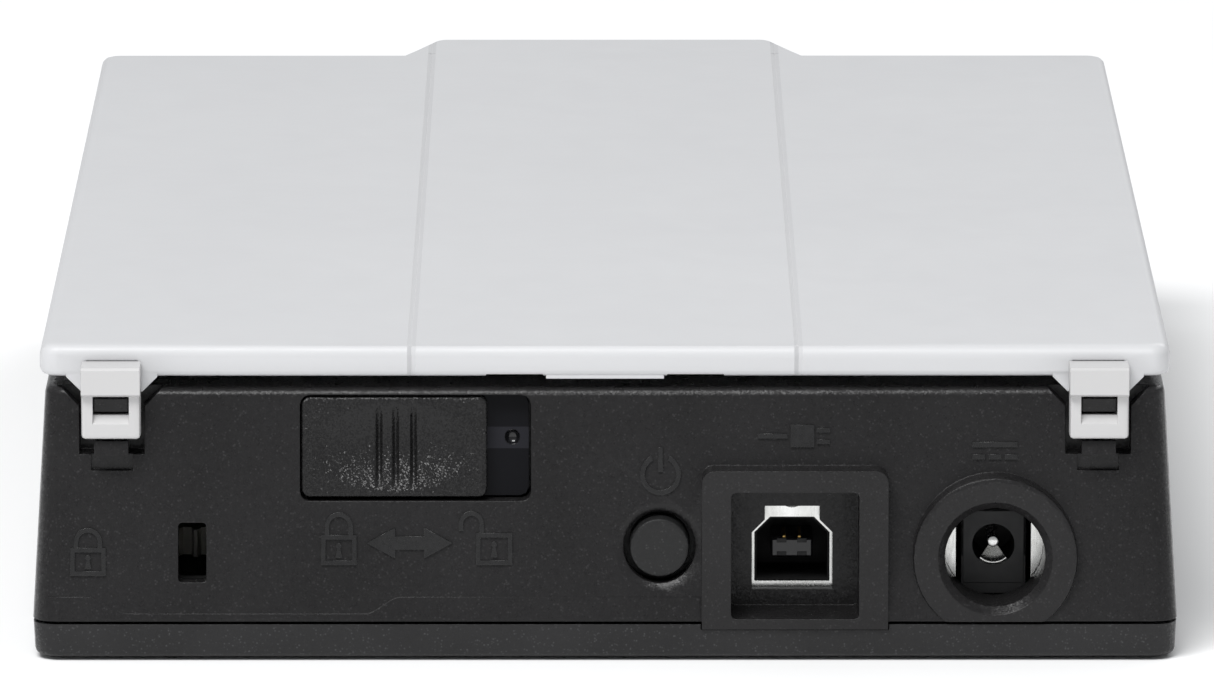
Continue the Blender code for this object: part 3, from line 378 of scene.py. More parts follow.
def make_looks():
    """Materials of the whole scanner, by a short name for each."""
    looks = {}
    looks["case"] = grained_plastic(
        "case_black", (0.0105, 0.0100, 0.0103), (0.0135, 0.0129, 0.0134),
        roughness=0.31, grain_mm=0.24, bump=0.30,
        speck=(0.032, 0.031, 0.032), glint=(0.2, 0.14), specular=0.26, edge=0.2,
    )
    looks["cover"] = grained_plastic(
        "cover_black", (0.0125, 0.0122, 0.0127), (0.0170, 0.0167, 0.0175),
        roughness=0.34, grain_mm=0.26, bump=0.36,
        speck=(0.050, 0.050, 0.052), glint=(0.22, 0.26), specular=0.30,
    )
    looks["knob"] = grained_plastic(
        "knob_black", (0.0095, 0.0092, 0.0094), (0.0120, 0.0117, 0.0119),
        roughness=0.25, grain_mm=0.3, bump=0.4, glint=(0.15, 0.50), specular=0.27, edge=0.06,
    )
    looks["button"] = grained_plastic(
        "button_black", (0.0130, 0.0130, 0.0132), (0.0170, 0.0170, 0.0172),
        roughness=0.42, grain_mm=0.22, bump=0.24,
        speck=(0.04, 0.04, 0.04), glint=(0.2, 0.14), specular=0.26, edge=0.18,
    )
    looks["inner_black"] = grained_plastic(
        "inner_black", (0.016, 0.016, 0.0165), (0.022, 0.022, 0.0225),
        roughness=0.5, grain_mm=0.4, bump=0.25, specular=0.35,
    )
    # Near-black look for the security slot plate and the sheets inside the data socket: painted shade
    # in those recesses.
    looks["inner_dark"] = grained_plastic(
        "shade_black", (0.006, 0.006, 0.006), (0.009, 0.009, 0.009),
        roughness=0.6, grain_mm=0.5, bump=0.2, specular=0.25,
    )
    looks["gloss_black"] = satin_plastic(
        "gloss_black", (0.0075, 0.0075, 0.0090), (0.0055, 0.0055, 0.0065),
        roughness=0.14, orange_peel=0.05, edge=0.1,
    )
    looks["track"] = make_track()
    looks["relief"] = grained_plastic(
        "relief_black", (0.0085, 0.0082, 0.0085), (0.0110, 0.0107, 0.0110),
        roughness=0.28, grain_mm=0.2, bump=0.15, specular=0.5, edge=0.07,
    )
    looks["lid"] = satin_plastic(
        "lid_white", (0.588, 0.590, 0.600), (0.574, 0.576, 0.587),
        roughness=0.42, orange_peel=0.14, edge=0.25, specular=0.42,
    )
    looks["lid"].creases(offset_mm=24.6, half_mm=0.55, depth_mm=0.3)
    looks["arm"] = satin_plastic(
        "arm_white", (0.545, 0.540, 0.540), (0.520, 0.515, 0.515),
        roughness=0.34, orange_peel=0.08, edge=0.18, specular=0.5,
    )
    looks["panel"] = grained_plastic(
        "panel_white", (0.60, 0.60, 0.605), (0.66, 0.66, 0.665),
        roughness=0.5, grain_mm=0.5, bump=0.18, specular=0.4,
    )
    looks["sheet"] = satin_plastic(
        "film_white", (0.83, 0.83, 0.82), (0.79, 0.79, 0.78),
        roughness=0.5, orange_peel=0.12, edge=0.1,
    )
    looks["nylon"] = satin_plastic(
        "nylon_natural", (0.72, 0.70, 0.63), (0.66, 0.64, 0.57),
        roughness=0.45, orange_peel=0.2, edge=0.1,
    )
    looks["grey"] = satin_plastic(
        "grey_satin", (0.24, 0.24, 0.25), (0.20, 0.20, 0.21),
        roughness=0.4, orange_peel=0.1, edge=0.12,
    )
    looks["steel"] = brushed_metal(
        "steel_sheet", (0.62, 0.62, 0.63), (0.48, 0.48, 0.50), roughness=0.28, along=(1.0, 0.08, 1.0)
    )
    looks["rod"] = brushed_metal(
        "rod_steel", (0.70, 0.70, 0.71), (0.58, 0.58, 0.60),
        roughness=0.16, along=(0.2, 3.0, 0.2), scratch=0.1,
    )
    looks["tin"] = brushed_metal(
        "tinned_steel", (0.80, 0.80, 0.79), (0.62, 0.62, 0.60),
        roughness=0.22, along=(1.0, 1.0, 0.15), scratch=0.15,
    )
    looks["screw"] = brushed_metal(
        "screw_zinc", (0.42, 0.42, 0.43), (0.28, 0.28, 0.29), roughness=0.33, along=(1.0, 1.0, 1.0)
    )
    looks["brass"] = brushed_metal(
        "brass", (0.78, 0.58, 0.27), (0.60, 0.43, 0.18), roughness=0.25, along=(1.0, 0.3, 1.0)
    )
    looks["gold"] = brushed_metal(
        "gold_contact", (0.85, 0.58, 0.20), (0.60, 0.36, 0.10), roughness=0.3, along=(1.0, 0.3, 1.0)
    )
    looks["rubber"] = grained_plastic(
        "foot_rubber", (0.028, 0.028, 0.028), (0.040, 0.040, 0.040),
        roughness=0.85, grain_mm=0.35, bump=0.4, specular=0.25,
    )
    looks["belt"] = grained_plastic(
        "belt_rubber", (0.018, 0.018, 0.018), (0.027, 0.027, 0.027),
        roughness=0.75, grain_mm=0.3, bump=0.35, specular=0.3,
    )
    looks["glass"] = make_glass()
    looks["board"] = make_board()
    looks["cable"] = make_cable_film()
    return {name: look.material for name, look in looks.items()}


def make_glass():
    """Clear glass, very slightly wavy and smeared."""
    look = Look("clear_glass", (0.90, 0.96, 0.94), 0.015, Transmission_Weight=1.0, IOR=1.5)
    look.bump(look.noise(22.0, 1.0), strength=0.02, depth_mm=0.05)
    smears = look.spread(look.noise(9.0, 4.0), 0.55, 0.75)
    look.rough(look.spread(smears, 0.0, 1.0, 0.01, 0.05))
    return look


def make_track():
    """Smooth blue-black plate with a paler band at the height of the detent: painted sheen."""
    look = Look("track_black", (0.004, 0.004, 0.005), 0.12, specular=0.16)
    look.soft_edges(0.06)
    # Painted sheen: a paler band across the plate at the height of the detent.
    painted_sheen_band = look.position_mask("Z", 26.5, 29.2)
    look.blend_colour(painted_sheen_band, (0.0060, 0.0060, 0.0074), (0.018, 0.018, 0.022))
    look.rough(look.spread(look.noise(3.0, 2.0), 0.3, 0.7, 0.09, 0.17))
    return look


def make_board():
    """Green solder mask with copper tracks and bare pads."""
    look = Look("circuit_board", (0.006, 0.055, 0.024), 0.34)
    tracks = look.cells(2.4, "DISTANCE_TO_EDGE")
    track = look.spread(tracks.outputs["Distance"], 0.05, 0.09, 1.0, 0.0)
    green = look.blend_colour(track, (0.005, 0.048, 0.021), (0.016, 0.105, 0.045))
    pads = look.cells(3.1)
    pad = look.spread(pads.outputs["Distance"], 0.13, 0.16, 1.0, 0.0)
    look.blend_colour(pad, green, (0.62, 0.60, 0.52))
    look.bump(look.combine("ADD", track, pad), strength=0.25, depth_mm=0.03)
    return look


def make_cable_film():
    """Flat cable: white film over a row of fine tracks that run along it."""
    lines_per_mm = 2.0
    look = Look("cable_film", (0.78, 0.78, 0.76), 0.35)
    wave = look.tree.nodes.new("ShaderNodeTexWave")
    wave.wave_type = "BANDS"
    wave.bands_direction = "X"
    wave.inputs["Scale"].default_value = lines_per_mm / MM / math.tau
    look.link(look.place, wave.inputs["Vector"])
    line = look.spread(wave.outputs["Fac"], 0.4, 0.8)
    look.blend_colour(line, (0.60, 0.60, 0.59), (0.80, 0.80, 0.78))
    look.bump(line, strength=0.3, depth_mm=0.03)
    return look


# ---------------------------------------------------------------- smoothing of the carried-over nodes


def make_smoother(limit_deg):
    """Shade smooth, with edges sharper than the limit kept sharp."""
    group = bpy.data.node_groups.new("smooth_by_angle", "GeometryNodeTree")
    group.interface.new_socket("Geometry", in_out="INPUT", socket_type="NodeSocketGeometry")
    group.interface.new_socket("Geometry", in_out="OUTPUT", socket_type="NodeSocketGeometry")
    enter = group.nodes.new("NodeGroupInput")
    leave = group.nodes.new("NodeGroupOutput")
    faces = group.nodes.new("GeometryNodeSetShadeSmooth")
    faces.domain = "FACE"
    faces.inputs["Shade Smooth"].default_value = True
    edges = group.nodes.new("GeometryNodeSetShadeSmooth")
    edges.domain = "EDGE"
    edges.inputs["Shade Smooth"].default_value = False
    angle = group.nodes.new("GeometryNodeInputMeshEdgeAngle")
    compare = group.nodes.new("FunctionNodeCompare")
    compare.data_type = "FLOAT"
    compare.operation = "GREATER_THAN"
    compare.inputs[1].default_value = math.radians(limit_deg)
    group.links.new(enter.outputs[0], faces.inputs["Geometry"])
    group.links.new(faces.outputs[0], edges.inputs["Geometry"])
    group.links.new(angle.outputs["Unsigned Angle"], compare.inputs[0])
    group.links.new(compare.outputs["Result"], edges.inputs["Selection"])
    group.links.new(edges.outputs[0], leave.inputs[0])
    return group


SMOOTHER = make_smoother(32.0)
WELD_MM = 0.002


def smooth_node(obj):
    """Drop the mesh's own normals, weld its seams and shade it smooth by angle."""
    mesh = obj.data
    for name in ("custom_normal", "sharp_edge", "sharp_face"):
        attribute = mesh.attributes.get(name)
        if attribute is not None:
            mesh.attributes.remove(attribute)
    weld = obj.modifiers.new("weld", "WELD")
    weld.merge_threshold = WELD_MM * MM
    smoother = obj.modifiers.new("smooth", "NODES")
    smoother.node_group = SMOOTHER
    weighted = obj.modifiers.new("weighted", "WEIGHTED_NORMAL")
    weighted.keep_sharp = True


# Nodes that new pieces stand for
REPLACED = {
    "lock_slider", "left_sensor_spring", "right_sensor_spring", "backing_pad", "sensor_flat_cable",
    "drive_belt",
}


def dress(looks):
    """Give every node that is shown its material."""
    table = {
        "case": ["upper_housing"],
        # The security slot plate is painted near-black: painted shade inside the slot.
        "inner_dark": ["security_slot_plate"],
        "cover": ["bottom_cover"],
        "button": ["power_button"],
        "inner_black": [
            "dc_jack_body", "power_switch", "scanner_chip", "carriage_frame", "sensor_housing",
        ],
        "gloss_black": ["usb_tongue"],
        "track": ["lock_track_plate"],
        "lid": ["lid_shell"],
        "arm": ["left_hinge_arm", "right_hinge_arm"],
        "panel": ["lid_inner_panel"],
        "sheet": ["calibration_strip"],
        "nylon": [
            "status_light_pipe", "front_rod_clamp", "rear_rod_clamp", "cable_connector", "belt_clamp",
            "left_glide_pad", "right_glide_pad", "drive_gear", "idler_pulley",
        ],
        "grey": ["start_button", "lens_array"],
        "steel": ["motor_bracket", "idler_bracket", "drive_motor", "belt_tension_spring"],
        "rod": ["guide_rod", "gear_axle"],
        "tin": ["usb_shell", "jack_shield", "dc_jack_pin"],
        "screw": [f"case_screw_{i}" for i in range(1, 5)],
        "brass": ["motor_pinion", "front_rod_bushing", "rear_rod_bushing"],
        "rubber": [f"rubber_foot_{i}" for i in range(1, 5)],
        "glass": ["platen_glass", "sensor_window"],
        "board": ["front_switch_board", "main_board", "sensor_board"],
    }
    for look, names in table.items():
        for name in names:
            NODES[name].data.materials.clear()
            NODES[name].data.materials.append(looks[look])
            smooth_node(NODES[name])
    undressed = set(NODES) - {name for names in table.values() for name in names} - REPLACED
    if undressed:
        raise RuntimeError(f"no material for {sorted(undressed)}")


# ---------------------------------------------------------------- new pieces

SAME_POINT = 1e-4  # two points of an outline this close are one


def add_piece(name, mesh, body, material):
    """New piece in the scene. It rides on body, or on none if body is None."""
    obj = bpy.data.objects.new(name, mesh)
    bpy.context.scene.collection.objects.link(obj)
    mesh.materials.clear()
    mesh.materials.append(material)
    if body is not None:
        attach(obj, body)
    return obj


def box_mm(name):
    """Low and high corner of a node."""
    return tuple(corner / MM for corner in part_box(name))


def filled(outlines, depth, place):
    """Mesh of flat outlines, the inner ones cut out, made depth thick.

    place turns (u, v, w) into a point, where w runs through the thickness.
    """
    curve = bpy.data.curves.new("outline", "CURVE")
    curve.dimensions = "2D"
    curve.fill_mode = "BOTH"
    curve.extrude = depth / 2
    for outline in outlines:
        spline = curve.splines.new("POLY")
        spline.points.add(len(outline) - 1)
        for point, (u, v) in zip(spline.points, outline):
            point.co = (u, v, 0.0, 1.0)
        spline.use_cyclic_u = True
    holder = bpy.data.objects.new("outline", curve)
    bpy.context.scene.collection.objects.link(holder)
    graph = bpy.context.evaluated_depsgraph_get()
    mesh = bpy.data.meshes.new_from_object(holder.evaluated_get(graph))
    bpy.data.objects.remove(holder)
    bm = bmesh.new()
    bm.from_mesh(mesh)
    bmesh.ops.remove_doubles(bm, verts=bm.verts, dist=SAME_POINT)
    for vert in bm.verts:
        vert.co = Vector(place(*vert.co)) * MM
    bmesh.ops.recalc_face_normals(bm, faces=bm.faces)
    bm.to_mesh(mesh)
    bm.free()
    return mesh


def new_verts(bm, points):
    return [bm.verts.new(Vector(point) * MM) for point in points]


def box_mesh(bm, low, high):
    """Add a box to a bmesh."""
    corners = new_verts(bm, itertools.product(*zip(low, high)))
    sides = ((0, 1, 3, 2), (4, 6, 7, 5), (0, 4, 5, 1), (2, 3, 7, 6), (0, 2, 6, 4), (1, 5, 7, 3))
    for side in sides:
        bm.faces.new([corners[i] for i in side])


def ring_steps(count):
    """Each index around a closed ring, with the one that follows."""
    return [(i, (i + 1) % count) for i in range(count)]


def bridge(bm, rings):
    """Join each closed ring of vertices to the next."""
    for one, two in zip(rings, rings[1:]):
        for i, j in ring_steps(len(one)):
            bm.faces.new((one[i], one[j], two[j], two[i]))


def bridge_open(bm, lines):
    """Join each open line of vertices to the next."""
    for one, two in zip(lines, lines[1:]):
        for i in range(len(one) - 1):
            bm.faces.new((one[i], two[i], two[i + 1], one[i + 1]))


def fan(bm, tip, ring):
    """Join a closed ring of vertices to one vertex."""
    for i, j in ring_steps(len(ring)):
        bm.faces.new((tip, ring[i], ring[j]))


def round_loop(bm, centre, radius, angles):
    """Vertices at angles around an axis along Y."""
    x, y, z = centre
    return new_verts(bm, [(x + radius * math.cos(a), y, z + radius * math.sin(a)) for a in angles])


def finished(bm, name, bevel=0.0, segments=2, sharp_deg=None):
    """Turn a bmesh into a mesh, with its edges rounded or with smooth shading up to sharp_deg."""
    bmesh.ops.recalc_face_normals(bm, faces=bm.faces)
    if bevel:
        bmesh.ops.bevel(
            bm, geom=bm.edges[:], offset=bevel * MM, segments=segments, profile=0.5, affect="EDGES"
        )
    mesh = bpy.data.meshes.new(name)
    bm.to_mesh(mesh)
    bm.free()
    if sharp_deg is not None:
        mesh.shade_smooth()
        mesh.set_sharp_from_angle(angle=math.radians(sharp_deg))
    return mesh


def arc(centre, radius, from_deg, to_deg, steps):
    """Points along an arc, both ends included."""
    points = []
    for i in range(steps + 1):
        angle = math.radians(from_deg + (to_deg - from_deg) * i / steps)
        points.append((centre[0] + radius * math.cos(angle), centre[1] + radius * math.sin(angle)))
    return points


def frame_outline(low, high):
    return [low, (high[0], low[1]), high, (low[0], high[1])]


def wall_plate(outlines, height):
    """Thin plate that follows the rear wall and stands height proud of it.

    In its outlines u runs to the right as seen from behind, which is -X, and v runs up.
    """
    middle = height - PLATE_DEPTH / 2
    return filled(outlines, PLATE_DEPTH, lambda u, v, w: (-u, wall_y(v) + middle + w, v))


def add_symbol(name, outlines, looks):
    add_piece(name, wall_plate(outlines, RELIEF_HEIGHT), "base", looks["relief"])


def padlock(left, base, width, height, shackle, leg_drop=0.0):
    """Outlines of a square body, a shackle over it and a keyhole.

    shackle is its centre, half width and rise. leg_drop lifts the end of its left leg off the body.
    """
    stroke, gap = 0.55, 0.02
    eye_height, eye_radius, slot_height, slot_half = 0.64, 0.36, 0.24, 0.42
    right, top = left + width, base + height
    centre, half, rise = shackle
    inner = frame_outline((left + stroke, base + stroke), (right - stroke, top - stroke))
    body = [frame_outline((left, base), (right, top)), inner]
    spring = top + rise - half
    foot = top + gap
    left_foot = foot + leg_drop
    hoop = [(centre + half, foot)] + arc((centre, spring), half, 0, 180, 14)
    hoop += [(centre - half, left_foot), (centre - half + stroke, left_foot)]
    hoop += arc((centre, spring), half - stroke, 180, 0, 12) + [(centre + half - stroke, foot)]
    middle = (left + right) / 2
    slot = base + height * slot_height
    keyhole = arc((middle, base + height * eye_height), eye_radius, -60, 240, 10)
    keyhole += [(middle - slot_half, slot), (middle + slot_half, slot)]
    return {"body": body, "shackle": [hoop], "keyhole": [keyhole]}


def arrow(left, right, middle, head, half_shaft, half_head):
    """Outline of a double arrow. head is the length of each of its two heads."""
    upper = [
        (left, middle), (left + head, middle + half_head), (left + head, middle + half_shaft),
        (right - head, middle + half_shaft), (right - head, middle + half_head), (right, middle),
    ]
    lower = [(u, 2 * middle - v) for u, v in upper[-2:0:-1]]
    return upper + lower


def add_symbols(looks):
    padlocks = {
        "closed_padlock": padlock(-36.1, 12.35, 4.5, 3.75, (-33.85, 1.78, 2.85)),
        "open_padlock": padlock(-16.4, 12.35, 4.6, 4.0, (-17.0, 1.58, 2.75), 0.25),
        "security_padlock": padlock(-68.0, 11.0, 4.5, 3.5, (-65.75, 1.8, 2.5)),
    }
    for name, parts in padlocks.items():
        for part, outlines in parts.items():
            add_symbol(f"{name}_{part}", outlines, looks)
    add_symbol("slide_arrow", [arrow(-30.3, -19.4, 15.1, 3.6, 0.82, 1.9)], looks)
    centre = (7.05, 23.7)
    ring = arc(centre, 2.6, 118, 422, 34) + arc(centre, 2.0, 422, 118, 30)
    add_symbol("power_ring", [ring], looks)
    add_symbol("power_bar", [frame_outline((6.76, 24.0), (7.34, 27.1))], looks)
    left, right, dash = 46.7, 52.45, 1.62
    bar_bottom, bar_top, dash_bottom, dash_top = 27.1, 27.75, 25.55, 26.2
    add_symbol("direct_current_bar", [frame_outline((left, bar_bottom), (right, bar_top))], looks)
    starts = [left + (right - left - dash) / 2 * i for i in range(3)]
    dashes = [frame_outline((u, dash_bottom), (u + dash, dash_top)) for u in starts]
    add_symbol("direct_current_dashes", dashes, looks)
    add_symbol("port_plug", [
        frame_outline((23.6, 27.1), (26.6, 29.9)),
        frame_outline((19.4, 28.2), (23.2, 28.8)),
        frame_outline((26.9, 27.5), (28.6, 28.05)),
        frame_outline((26.9, 28.95), (28.6, 29.5)),
    ], looks)


def add_tongue_details(looks):
    """Contacts and slots of the tongue of the data socket."""
    low, high = box_mm("usb_tongue")
    middle_x, middle_z = (low.x + high.x) / 2, (low.z + high.z) / 2
    slot_out, slot_up, slot_lift = 1.3, 0.85, 0.1
    slot_half_x, slot_half_z, slot_deep, slot_proud = 0.62, 0.27, 0.5, 0.02
    bm = bmesh.new()
    for side in (-1, 1):
        for row in (-1, 1):
            x, z = middle_x + side * slot_out, middle_z + slot_lift + row * slot_up
            box_mesh(
                bm,
                (x - slot_half_x, high.y - slot_deep, z - slot_half_z),
                (x + slot_half_x, high.y + slot_proud, z + slot_half_z),
            )
    slots = finished(bm, "tongue_slots")
    add_piece("tongue_slots", slots, "base", looks["inner_black"])
    contact_out, contact_half, contact_sunk, contact_proud = 0.98, 0.2, 0.05, 0.22
    contact_back, contact_front = high.y - 6.0, high.y - 0.5
    bm = bmesh.new()
    for x in (middle_x - contact_out, middle_x + contact_out):
        box_mesh(
            bm,
            (x - contact_half, contact_back, high.z - contact_sunk),
            (x + contact_half, contact_front, high.z + contact_proud),
        )
    contacts = finished(bm, "tongue_contacts", bevel=0.05, segments=1)
    add_piece("tongue_contacts", contacts, "base", looks["gold"])


def add_socket_shade_sheet(looks):
    """Near-black sheet inside the data socket, and a floor behind it: painted shade over the inside of
    the shell. It leaves the rim of the metal shell bare.
    """
    low, high = box_mm("usb_shell")
    middle = (low.x + high.x) / 2

    def outline(half, bottom, top, chamfer):
        return [
            (middle - half, bottom), (middle + half, bottom), (middle + half, top - chamfer),
            (middle + half - chamfer, top), (middle - half + chamfer, top),
            (middle - half, top - chamfer),
        ]

    wall, floor_depth = 0.25, 0.2
    bottom, top, half, chamfer = 8.37, 16.68, 4.78, 1.99
    outer = outline(half, bottom, top, chamfer)
    inner = outline(half - wall, bottom + wall, top - wall, chamfer - 0.1)
    back, front = 96.6, high.y - 0.45
    middle_y = (back + front) / 2
    # Painted shade: a dark sheet over the inside walls of the shell, and a dark floor at its back.
    shade_sheet = filled([outer, inner], front - back, lambda u, v, w: (u, middle_y - w, v))
    add_piece("socket_shade_sheet", shade_sheet, "base", looks["inner_dark"])
    floor = filled([outer], floor_depth, lambda u, v, w: (u, back + floor_depth - w, v))
    add_piece("socket_floor", floor, "base", looks["inner_dark"])


def add_jack_contact(looks):
    """Spring contact in the power jack: a hollowed ramp that rises towards the back."""
    low, high = box_mm("dc_jack_pin")
    centre = (low.x + high.x) / 2, (low.z + high.z) / 2
    front, length, drop, rise, flat_share, thickness = 107.7, 2.2, 2.6, 1.75, 0.12, 0.18
    from_deg, to_deg, steps = 228, 312, 10
    bm = bmesh.new()
    rings = []
    for share in (0.0, flat_share, 0.5, 1.0):
        radius = drop - rise * max(0.0, share - flat_share)
        under = arc(centre, radius, from_deg, to_deg, steps)
        over = arc(centre, radius - thickness, from_deg, to_deg, steps)[::-1]
        rings.append(new_verts(bm, [(x, front - length * share, z) for x, z in under + over]))
    bridge(bm, rings)
    bm.faces.new(rings[0])
    bm.faces.new(rings[-1])
    add_piece("jack_contact", finished(bm, "jack_contact"), "base", looks["tin"])


def add_wall_step(looks):
    """A very shallow step low on the rear wall, which dips under the security slot."""
    left, right, bottom, upper, lower, height = -71.0, 12.1, 5.35, 8.3, 6.2, 0.05

    def ease(u_from, u_to, v_from, v_to, steps=8):
        points = []
        for i in range(steps + 1):
            share = i / steps
            smooth = share * share * (3 - 2 * share)
            points.append((u_from + (u_to - u_from) * share, v_from + (v_to - v_from) * smooth))
        return points

    line = [(left, bottom), (left, upper)]
    line += ease(-66.0, -60.5, upper, lower) + ease(-30.5, -26.0, lower, upper)
    line += [(right, upper), (right, bottom)]
    add_piece("wall_step", wall_plate([line], height), "base", looks["case"])


def rounded(share):
    """How far a rounded edge has dropped, from 0 to 1, at a share of the way out to its rim."""
    return 1.0 - math.sqrt(1.0 - share * share)


def add_lock_knob(looks):
    """The lock slider: a soft-edged thumb dish with three grooves, in a panel that follows the wall."""
    low, high = box_mm("lock_slider")
    left, right, bottom, top = low.x, high.x, low.z, high.z
    middle_x, middle_z = (left + right) / 2, (bottom + top) / 2
    corner, edge, sunk = 1.1, 0.3, 0.1
    dish_half_x, dish_half_z, dish_depth = 10.7, 5.55, 1.0
    groove_places, groove_half_x, groove_half_z, groove_depth = (24.35, 26.65, 28.75), 0.46, 5.1, 0.62
    columns, rows = 190, 70

    def front(x, z):
        """Y of the front face, with its rounded rim, dish and grooves."""
        to_side = min(x - left, right - x)
        to_end = min(z - bottom, top - z)
        if to_side < corner and to_end < corner:
            to_rim = corner - math.hypot(corner - to_side, corner - to_end)
        else:
            to_rim = min(to_side, to_end)
        y = wall_y(z) - sunk - edge * rounded(max(0.0, 1.0 - max(to_rim, 0.0) / edge))
        r = ((x - middle_x) / dish_half_x) ** 2 + ((z - middle_z) / dish_half_z) ** 2
        if r < 1.0:
            y -= dish_depth * (1.0 - r) ** 1.25
        along = (z - middle_z) / groove_half_z
        for groove_x in groove_places:
            across = (x - groove_x) / groove_half_x
            if abs(across) < 1.0 and abs(along) < 1.0:
                y -= groove_depth * (1.0 - across * across) ** 1.2 * math.sqrt(1.0 - along * along)
        return y

    bm = bmesh.new()
    face, back = [], []
    for i in range(columns + 1):
        x = left + (right - left) * i / columns
        inset = 0.0
        side = min(x - left, right - x)
        if side < corner:
            inset = corner - math.sqrt(max(0.0, corner ** 2 - (corner - side) ** 2))
        lines = [], []
        for j in range(rows + 1):
            z = bottom + inset + (top - bottom - 2 * inset) * j / rows
            lines[0].extend(new_verts(bm, [(x, front(x, z), z)]))
            lines[1].extend(new_verts(bm, [(x, wall_y(z) - KNOB_DEPTH, z)]))
        face.append(lines[0])
        back.append(lines[1])
    for sheet in (face, back):
        bridge_open(bm, sheet)
    bridge_open(bm, [face[0], back[0]])
    bridge_open(bm, [face[-1], back[-1]])
    for end in (0, -1):
        bridge_open(bm, [[line[end] for line in face], [line[end] for line in back]])
    knob_mesh = finished(bm, "thumb_slider", sharp_deg=50)
    knob = add_piece("thumb_slider", knob_mesh, "carriage_lock", looks["knob"])
    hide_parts("lock_slider")
    arm_low, arm_high = (21.0, low.y, 24.0), (24.2, 111.6, 27.0)
    bm = bmesh.new()
    box_mesh(bm, arm_low, arm_high)
    arm = finished(bm, "lock_arm", bevel=0.2)
    add_piece("lock_arm", arm, "carriage_lock", looks["knob"])


def add_sensor_springs(looks):
    """The two springs under the sensor, drawn as round wire."""
    wire, radius, turns, per_turn, around, sink = 0.3, 2.2, 3, 20, 8, 1.05
    up = Vector((0, 0, 1))
    for side in ("left", "right"):
        low, high = box_mm(f"{side}_sensor_spring")
        centre = (low + high) / 2
        bottom, top = low.z + wire, high.z - wire
        bm = bmesh.new()
        rings = []
        for step in range(turns * per_turn + 1):
            turn = math.tau * step / per_turn
            height = bottom + (top - bottom) * step / (turns * per_turn)
            out = Vector((math.cos(turn), math.sin(turn), 0.0))
            middle = Vector((centre.x, centre.y, height)) + out * radius
            angles = [math.tau * k / around for k in range(around)]
            rings.append(new_verts(
                bm, [middle + (out * math.cos(a) + up * math.sin(a)) * wire for a in angles]
            ))
        bridge(bm, rings)
        bm.faces.new(rings[0])
        bm.faces.new(rings[-1])
        mesh = finished(bm, f"{side}_coil_spring", sharp_deg=50)
        spring = add_piece(f"{side}_coil_spring", mesh, "carriage", looks["steel"])
        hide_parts(f"{side}_sensor_spring")
        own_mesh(spring)


def add_detent_cup(looks):
    """Round dimple in the lock's track, where the slider snaps in."""
    x, z = DETENT_SPOT
    rim, deep, floor, behind, sides, rings = 0.97, 0.78, 0.92, 0.3, 28, 8
    face = wall_y(z) - KNOB_DEPTH - behind
    turns = [math.tau * k / sides for k in range(sides)]
    bm = bmesh.new()
    pole = new_verts(bm, [(x, face - deep, z)])
    loops = []
    for i in range(1, rings + 1):
        t = math.pi / 2 * i / rings
        loops.append(round_loop(bm, (x, face - deep * math.cos(t), z), rim * math.sin(t), turns))
    loops.append(round_loop(bm, (x, face - floor, z), rim, turns))
    base = new_verts(bm, [(x, face - floor, z)])
    fan(bm, pole[0], loops[0])
    bridge(bm, loops)
    fan(bm, base[0], loops[-1])
    mesh = finished(bm, "detent_cup", sharp_deg=40)
    add_piece("detent_cup", mesh, "base", looks["gloss_black"])


def add_backing_pad(looks):
    """The foam pad under the lid: a thin slab with soft rounded edges."""
    low, high = box_mm("backing_pad")
    bm = bmesh.new()
    box_mesh(bm, low, high)
    mesh = finished(bm, "backing_pad_foam", bevel=0.45, segments=3)
    pad = add_piece("backing_pad_foam", mesh, "lid", looks["sheet"])
    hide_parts("backing_pad")


def ribbon_mesh(name, route, x_range, thickness):
    """A flat strip across x_range that follows route, a line of (y, z) points."""
    left, right = x_range
    bm = bmesh.new()
    rings = []
    for i, (y, z) in enumerate(route):
        before, after = route[max(i - 1, 0)], route[min(i + 1, len(route) - 1)]
        along = Vector((after[0] - before[0], after[1] - before[1])).normalized()
        across = (-along.y * thickness / 2, along.x * thickness / 2)
        corners = ((left, -1), (right, -1), (right, 1), (left, 1))
        rings.append(new_verts(bm, [(x, y + s * across[0], z + s * across[1]) for x, s in corners]))
    bridge(bm, rings)
    bm.faces.new(rings[0][::-1])
    bm.faces.new(rings[-1])
    return finished(bm, name)


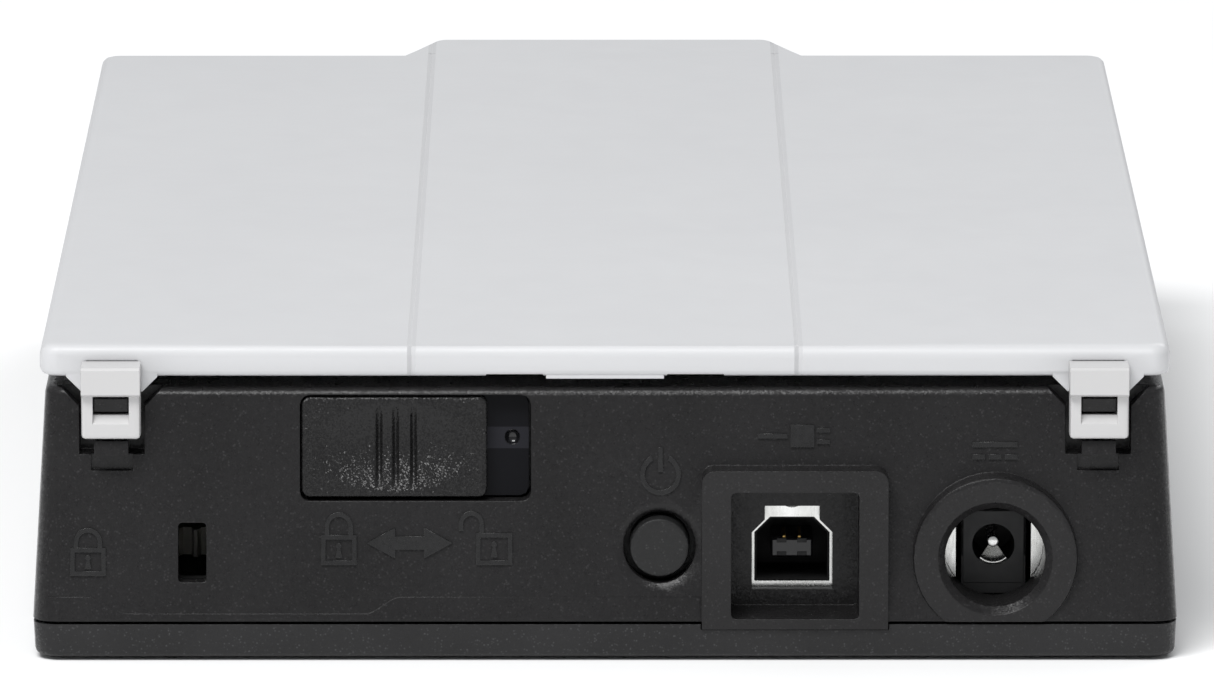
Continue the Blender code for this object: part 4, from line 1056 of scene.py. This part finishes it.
def add_flat_cable(looks):
    """The sensor's flat cable: a run that stays on the floor, and one that the carriage draws along."""
    low, high = box_mm("sensor_flat_cable")
    x_range = (low.x, high.x)
    thickness, run_z, fold_y, fold_r = 0.4, 3.4, -12.0, 3.35
    riser_y, riser_top, riser_r, samples, rigid_end = 60.0, 18.2, 2.0, 48, 2.5
    down = [
        (73.8, 9.6), (72.6, 9.2), (71.6, 8.0), (70.6, 6.0), (69.6, 4.4), (68.2, 3.6), (66.0, run_z),
    ]
    fold = (fold_y, run_z + fold_r)
    still = down + arc(fold, fold_r, 270, 180, 8)
    floor_run = ribbon_mesh("flat_cable_floor_run", still, x_range, thickness)
    run = add_piece("flat_cable_floor_run", floor_run, "base", looks["cable"])
    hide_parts("sensor_flat_cable")
    upper = run_z + 2 * fold_r
    straight = riser_y - riser_r - fold_y
    moving = arc(fold, fold_r, 180, 90, 8)
    moving += [(fold_y + straight * i / samples, upper) for i in range(1, samples)]
    moving += arc((riser_y - riser_r, upper + riser_r), riser_r, 270, 360, 6)
    moving.append((riser_y, riser_top))
    mesh = ribbon_mesh("flat_cable_moving_run", moving, x_range, thickness)
    piece = add_piece("flat_cable_moving_run", mesh, None, looks["cable"])
    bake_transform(piece)


def add_toothed_belt(looks):
    """The drive belt, with its teeth on the inside of the loop."""
    low, high = box_mm("drive_belt")
    back, tooth, pitch = 0.55, 0.45, 2.0
    radius = (high.x - low.x) / 2
    inner_radius = radius - back
    centre_x = (low.x + high.x) / 2
    far, near = high.y - radius, low.y + radius
    straight = far - near
    half_turn = math.pi * inner_radius
    loop = 2 * (straight + half_turn)
    count = round(loop / pitch)

    def at(distance, depth):
        """Point of the loop at a distance along its inner face, depth inside the outer face."""
        out = radius - depth
        distance %= loop
        if distance < half_turn:
            angle = distance / inner_radius
            return centre_x + out * math.cos(angle), far + out * math.sin(angle)
        distance -= half_turn
        if distance < straight:
            return centre_x - out, far - distance
        distance -= straight
        if distance < half_turn:
            angle = math.pi + distance / inner_radius
            return centre_x + out * math.cos(angle), near + out * math.sin(angle)
        return centre_x + out, near + distance - half_turn

    tip = back + tooth
    profile = ((0.0, back), (0.2, back), (0.3, tip), (0.7, tip), (0.8, back))
    inner, outer = [], []
    for i in range(count):
        for share, depth in profile:
            distance = (i + share) * loop / count
            inner.append(at(distance, depth))
            outer.append(at(distance, 0.0))
    bm = bmesh.new()
    inner_low, inner_high, outer_low, outer_high = (
        new_verts(bm, [(x, y, z) for x, y in side]) for side in (inner, outer) for z in (low.z, high.z)
    )
    bridge(bm, [inner_low, inner_high, outer_high, outer_low, inner_low])
    belt = add_piece("toothed_belt", finished(bm, "toothed_belt"), "base", looks["belt"])
    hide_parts("drive_belt")


def build():
    looks = make_looks()
    dress(looks)
    add_symbols(looks)
    add_wall_step(looks)
    add_tongue_details(looks)
    add_socket_shade_sheet(looks)
    add_jack_contact(looks)
    add_lock_knob(looks)
    add_detent_cup(looks)
    add_sensor_springs(looks)
    add_backing_pad(looks)
    add_flat_cable(looks)
    add_toothed_belt(looks)


add_camera()
add_world()
add_lights()
add_floor()
bpy.context.scene.view_settings.view_transform = "Standard"
build()
